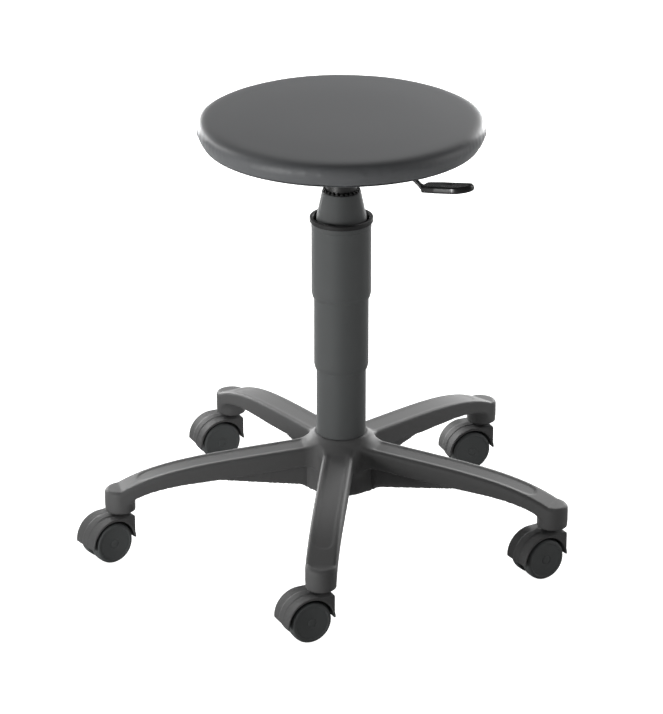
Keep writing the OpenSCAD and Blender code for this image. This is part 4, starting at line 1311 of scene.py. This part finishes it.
def wheel_outline():
    """Half of a wheel's section, as (radius, distance outwards from its inner face)."""
    r, w, deep = WHEEL_R, WHEEL_W, WHEEL_W - 4 * MM
    return [(3.06 * MM, 0), (7 * MM, 0), (8 * MM, deep), (r - 5 * MM, deep), (r - 4 * MM, 0),
            (r - 0.9 * MM, 0), (r - 0.25 * MM, 1 * MM), (r, 4 * MM), (r, w - 5 * MM),
            (r - 0.35 * MM, w - 2.4 * MM), (r - 1.6 * MM, w - 0.5 * MM), (r - 2.8 * MM, w),
            (r - 4.6 * MM, w), (r - 5.2 * MM, w - 0.7 * MM), (6.2 * MM, w - 0.5 * MM),
            (5.8 * MM, w - 0.9 * MM), (5.2 * MM, w - 0.9 * MM), (4.8 * MM, w - 0.5 * MM),
            (2.5 * MM, w - 0.25 * MM), (0, w - 0.2 * MM), (0, deep - 0.4 * MM),
            (3.06 * MM, deep - 0.4 * MM)]


class STOOL_OT_casters(bpy.types.Operator):
    """Build the hoods and twin wheels of the five casters"""
    bl_idname = "stool.casters"
    bl_label = "Build Casters"

    def execute(self, context):
        settings = context.scene.stool_casters
        hood_nylon = finish_named("caster_nylon", tuple(settings.colour))
        wheel_nylon = finish_named("wheel_nylon")
        verts, faces = surface_of(
            hood_field, (-10 * MM, -21 * MM, AXLE_Z - 11 * MM),
            (TRAIL + AXLE_Z + 6 * MM, 21 * MM, SOCKET_Z - 2 * MM), settings.step)
        rim, wheel_faces = lathe_mesh(rounded(wheel_outline(), 0.5 * MM, 2), 72)
        body = new_piece("wheel_body", rim, wheel_faces)
        deep = WHEEL_W - 4 * MM
        rib = block((WHEEL_R - 12 * MM, 1.6 * MM, deep - 0.6 * MM),
                    ((WHEEL_R + 2.5 * MM) / 2, 0, deep / 2 + 0.6 * MM), 0.3 * MM)
        ribs = grown("ribs", rib, "Ring of Parts", Count=settings.spokes, Radius=0.0, Height=0.0,
                     Turn=0.0, Material=wheel_nylon)
        wheel = join("wheel_source", [body, ribs], wheel_nylon)
        wheel_verts = np.array([v.co for v in wheel.data.vertices])
        wheel_faces = [tuple(f.vertices) for f in wheel.data.polygons]
        bpy.data.objects.remove(wheel)
        for i in range(1, 6):
            stem = np.array(JOINTS[f"caster_swivel_{i}"]["pos_m"]) * [1, 1, 0]
            axle = np.array(JOINTS[f"wheel_spin_a_{i}"]["pos_m"])
            heading = math.atan2(axle[1] - stem[1], axle[0] - stem[0])
            hood = new_piece(f"hood_shell_{i}", turned(verts, heading, stem), faces,
                             hood_nylon, 45)
            settle_piece(hood, f"caster_{i}", "caster_nylon", f"hood_{i}")
            across = np.array([-math.sin(heading), math.cos(heading), 0])
            for letter, side in (("a", 1), ("b", -1)):
                local = np.stack([wheel_verts[:, 0], side * (wheel_verts[:, 2] + WHEEL_IN),
                                  wheel_verts[:, 1]], axis=1)
                placed = turned(local, heading) + axle
                piece = new_piece(f"wheel_{letter}{i}", placed, wheel_faces, wheel_nylon)
                node = f"wheel_{letter}_{i}"
                offset = (lowest(node) + highest(node)) / 2 - axle
                if (offset @ across) * side < 0:
                    raise RuntimeError(f"{node} is on the other side of its caster")
                settle_piece(piece, f"caster_wheel_{letter}_{i}", "wheel_nylon", node)
        return {"FINISHED"}


# ---------------------------------------------------------------- parts that keep their shape

class STOOL_OT_hardware(bpy.types.Operator):
    """Give the steel, brass, rubber and other inner parts their finishes"""
    bl_idname = "stool.hardware"
    bl_label = "Finish Hardware"

    def execute(self, context):
        for node, piece in frame["nodes"].items():
            material = finish_named(SLOT_OF[node])
            piece.data.materials.clear()
            piece.data.materials.append(material)
        return {"FINISHED"}


# ---------------------------------------------------------------- stage

def soft_light(name, place, target, size, power, colour=(1, 1, 1)):
    data = bpy.data.lights.new(name, "AREA")
    data.shape = "RECTANGLE"
    data.size, data.size_y = size
    data.energy = power
    data.color = colour
    light = bpy.data.objects.new(name, data)
    light.location = place
    light.rotation_euler = (Vector(target) - Vector(place)).to_track_quat("-Z", "Y").to_euler()
    bpy.context.scene.collection.objects.link(light)
    return light


class STOOL_OT_stage(bpy.types.Operator):
    """Set the floor, the lights and the camera"""
    bl_idname = "stool.stage"
    bl_label = "Set Stage"

    def execute(self, context):
        scene = context.scene
        settings = scene.stool_stage
        paper = bpy.data.materials.new("studio_floor")
        paper.use_nodes = True
        tree = paper.node_tree
        shader = tree.nodes["Principled BSDF"]
        shader.inputs["Roughness"].default_value = 0.95
        place = tree.nodes.new("ShaderNodeTexCoord").outputs["Object"]
        tone = use_group(tree, "Tone Drift", Vector=place, Colour=(*settings.floor, 1),
                         Amount=0.006, Scale=2.0)
        tree.links.new(tone.outputs["Colour"], shader.inputs["Base Color"])
        ray = tree.nodes.new("ShaderNodeLightPath")
        shader.inputs["Emission Color"].default_value = (1, 1, 1, 1)
        tree.links.new(maths(tree, "MULTIPLY", ray.outputs["Is Camera Ray"], settings.glow),
                       shader.inputs["Emission Strength"])
        floor = new_piece("studio_floor", [(-12, -12, 0), (12, -12, 0), (12, 12, 0),
                                           (-12, 12, 0)], [(0, 1, 2, 3)], paper)
        world = bpy.data.worlds.new("studio")
        scene.world = world
        world.use_nodes = True
        back = world.node_tree.nodes["Background"]
        back.inputs[0].default_value = (1, 1, 1, 1)
        ray = world.node_tree.nodes.new("ShaderNodeLightPath")
        seen = world.node_tree.nodes.new("ShaderNodeMapRange")
        seen.inputs["To Min"].default_value = settings.surround
        seen.inputs["To Max"].default_value = 1.0
        world.node_tree.links.new(ray.outputs["Is Camera Ray"], seen.inputs["Value"])
        world.node_tree.links.new(seen.outputs[0], back.inputs[1])
        scene.view_settings.view_transform = "Standard"
        soft_light("back_light", (0.1, 1.7, 2.0), (0, 0, 0.3), (1.2, 0.7), 9)
        soft_light("right_rear", (1.2, 2.4, 0.65), (0, 0, 0.3), (0.75, 1.0), 95)
        soft_light("left_rear", (-1.25, 2.4, 0.5), (0, 0, 0.3), (0.5, 0.8), 80)
        soft_light("left_high", (-1.9, 1.2, 1.3), (0, 0, 0.2), (0.4, 0.4), 28)
        soft_light("right_light", (2.1, 0.2, 0.95), (0, 0, 0.35), (0.4, 1.5), 14)
        soft_light("left_light", (-1.0, -0.95, 0.26), (0, 0, 0.28), (0.14, 0.5), 12)
        target = Vector((-0.012, 0, 0.2365))
        away = Vector((0, -math.cos(settings.elevation), math.sin(settings.elevation)))
        data = bpy.data.cameras.new("camera")
        data.lens = settings.lens
        data.sensor_width = 36
        camera = bpy.data.objects.new("camera", data)
        camera.location = target + away * settings.distance
        camera.rotation_euler = (target - camera.location).to_track_quat("-Z", "Y").to_euler()
        scene.collection.objects.link(camera)
        scene.camera = camera
        return {"FINISHED"}


# ---------------------------------------------------------------- panel and registering

class STOOL_PT_panel(bpy.types.Panel):
    """The builders of the stool's pieces, in the order that they are called"""
    bl_label = "Swivel Stool"
    bl_idname = "STOOL_PT_panel"
    bl_space_type = "VIEW_3D"
    bl_region_type = "UI"
    bl_category = "Stool"

    def draw(self, context):
        for operator, name in STEPS:
            column = self.layout.column(align=True)
            column.operator(operator.bl_idname)
            settings = getattr(context.scene, name, None) if name else None
            if settings:
                for label in settings.__class__.__annotations__:
                    column.prop(settings, label)


SETTINGS = {"stool_seat": SeatSettings, "stool_column": ColumnSettings,
            "stool_lever": LeverSettings, "stool_base": BaseSettings,
            "stool_casters": CasterSettings, "stool_stage": StageSettings}
STEPS = [(STOOL_OT_stage, "stool_stage"), (STOOL_OT_seat, "stool_seat"),
         (STOOL_OT_mechanism, None), (STOOL_OT_lever, "stool_lever"),
         (STOOL_OT_column, "stool_column"), (STOOL_OT_base, "stool_base"),
         (STOOL_OT_casters, "stool_casters"), (STOOL_OT_hardware, None)]
CLASSES = [*SETTINGS.values(), *[operator for operator, _ in STEPS], STOOL_PT_panel]


def register():
    for cls in CLASSES:
        bpy.utils.register_class(cls)
    for name, cls in SETTINGS.items():
        setattr(bpy.types.Scene, name, PointerProperty(type=cls))


def unregister():
    for name in SETTINGS:
        delattr(bpy.types.Scene, name)
    for cls in reversed(CLASSES):
        bpy.utils.unregister_class(cls)


def main():
    register()
    for operator, _ in STEPS:
        group, name = operator.bl_idname.split(".")
        getattr(getattr(bpy.ops, group), name)()


if __name__ == "__main__":
    main()
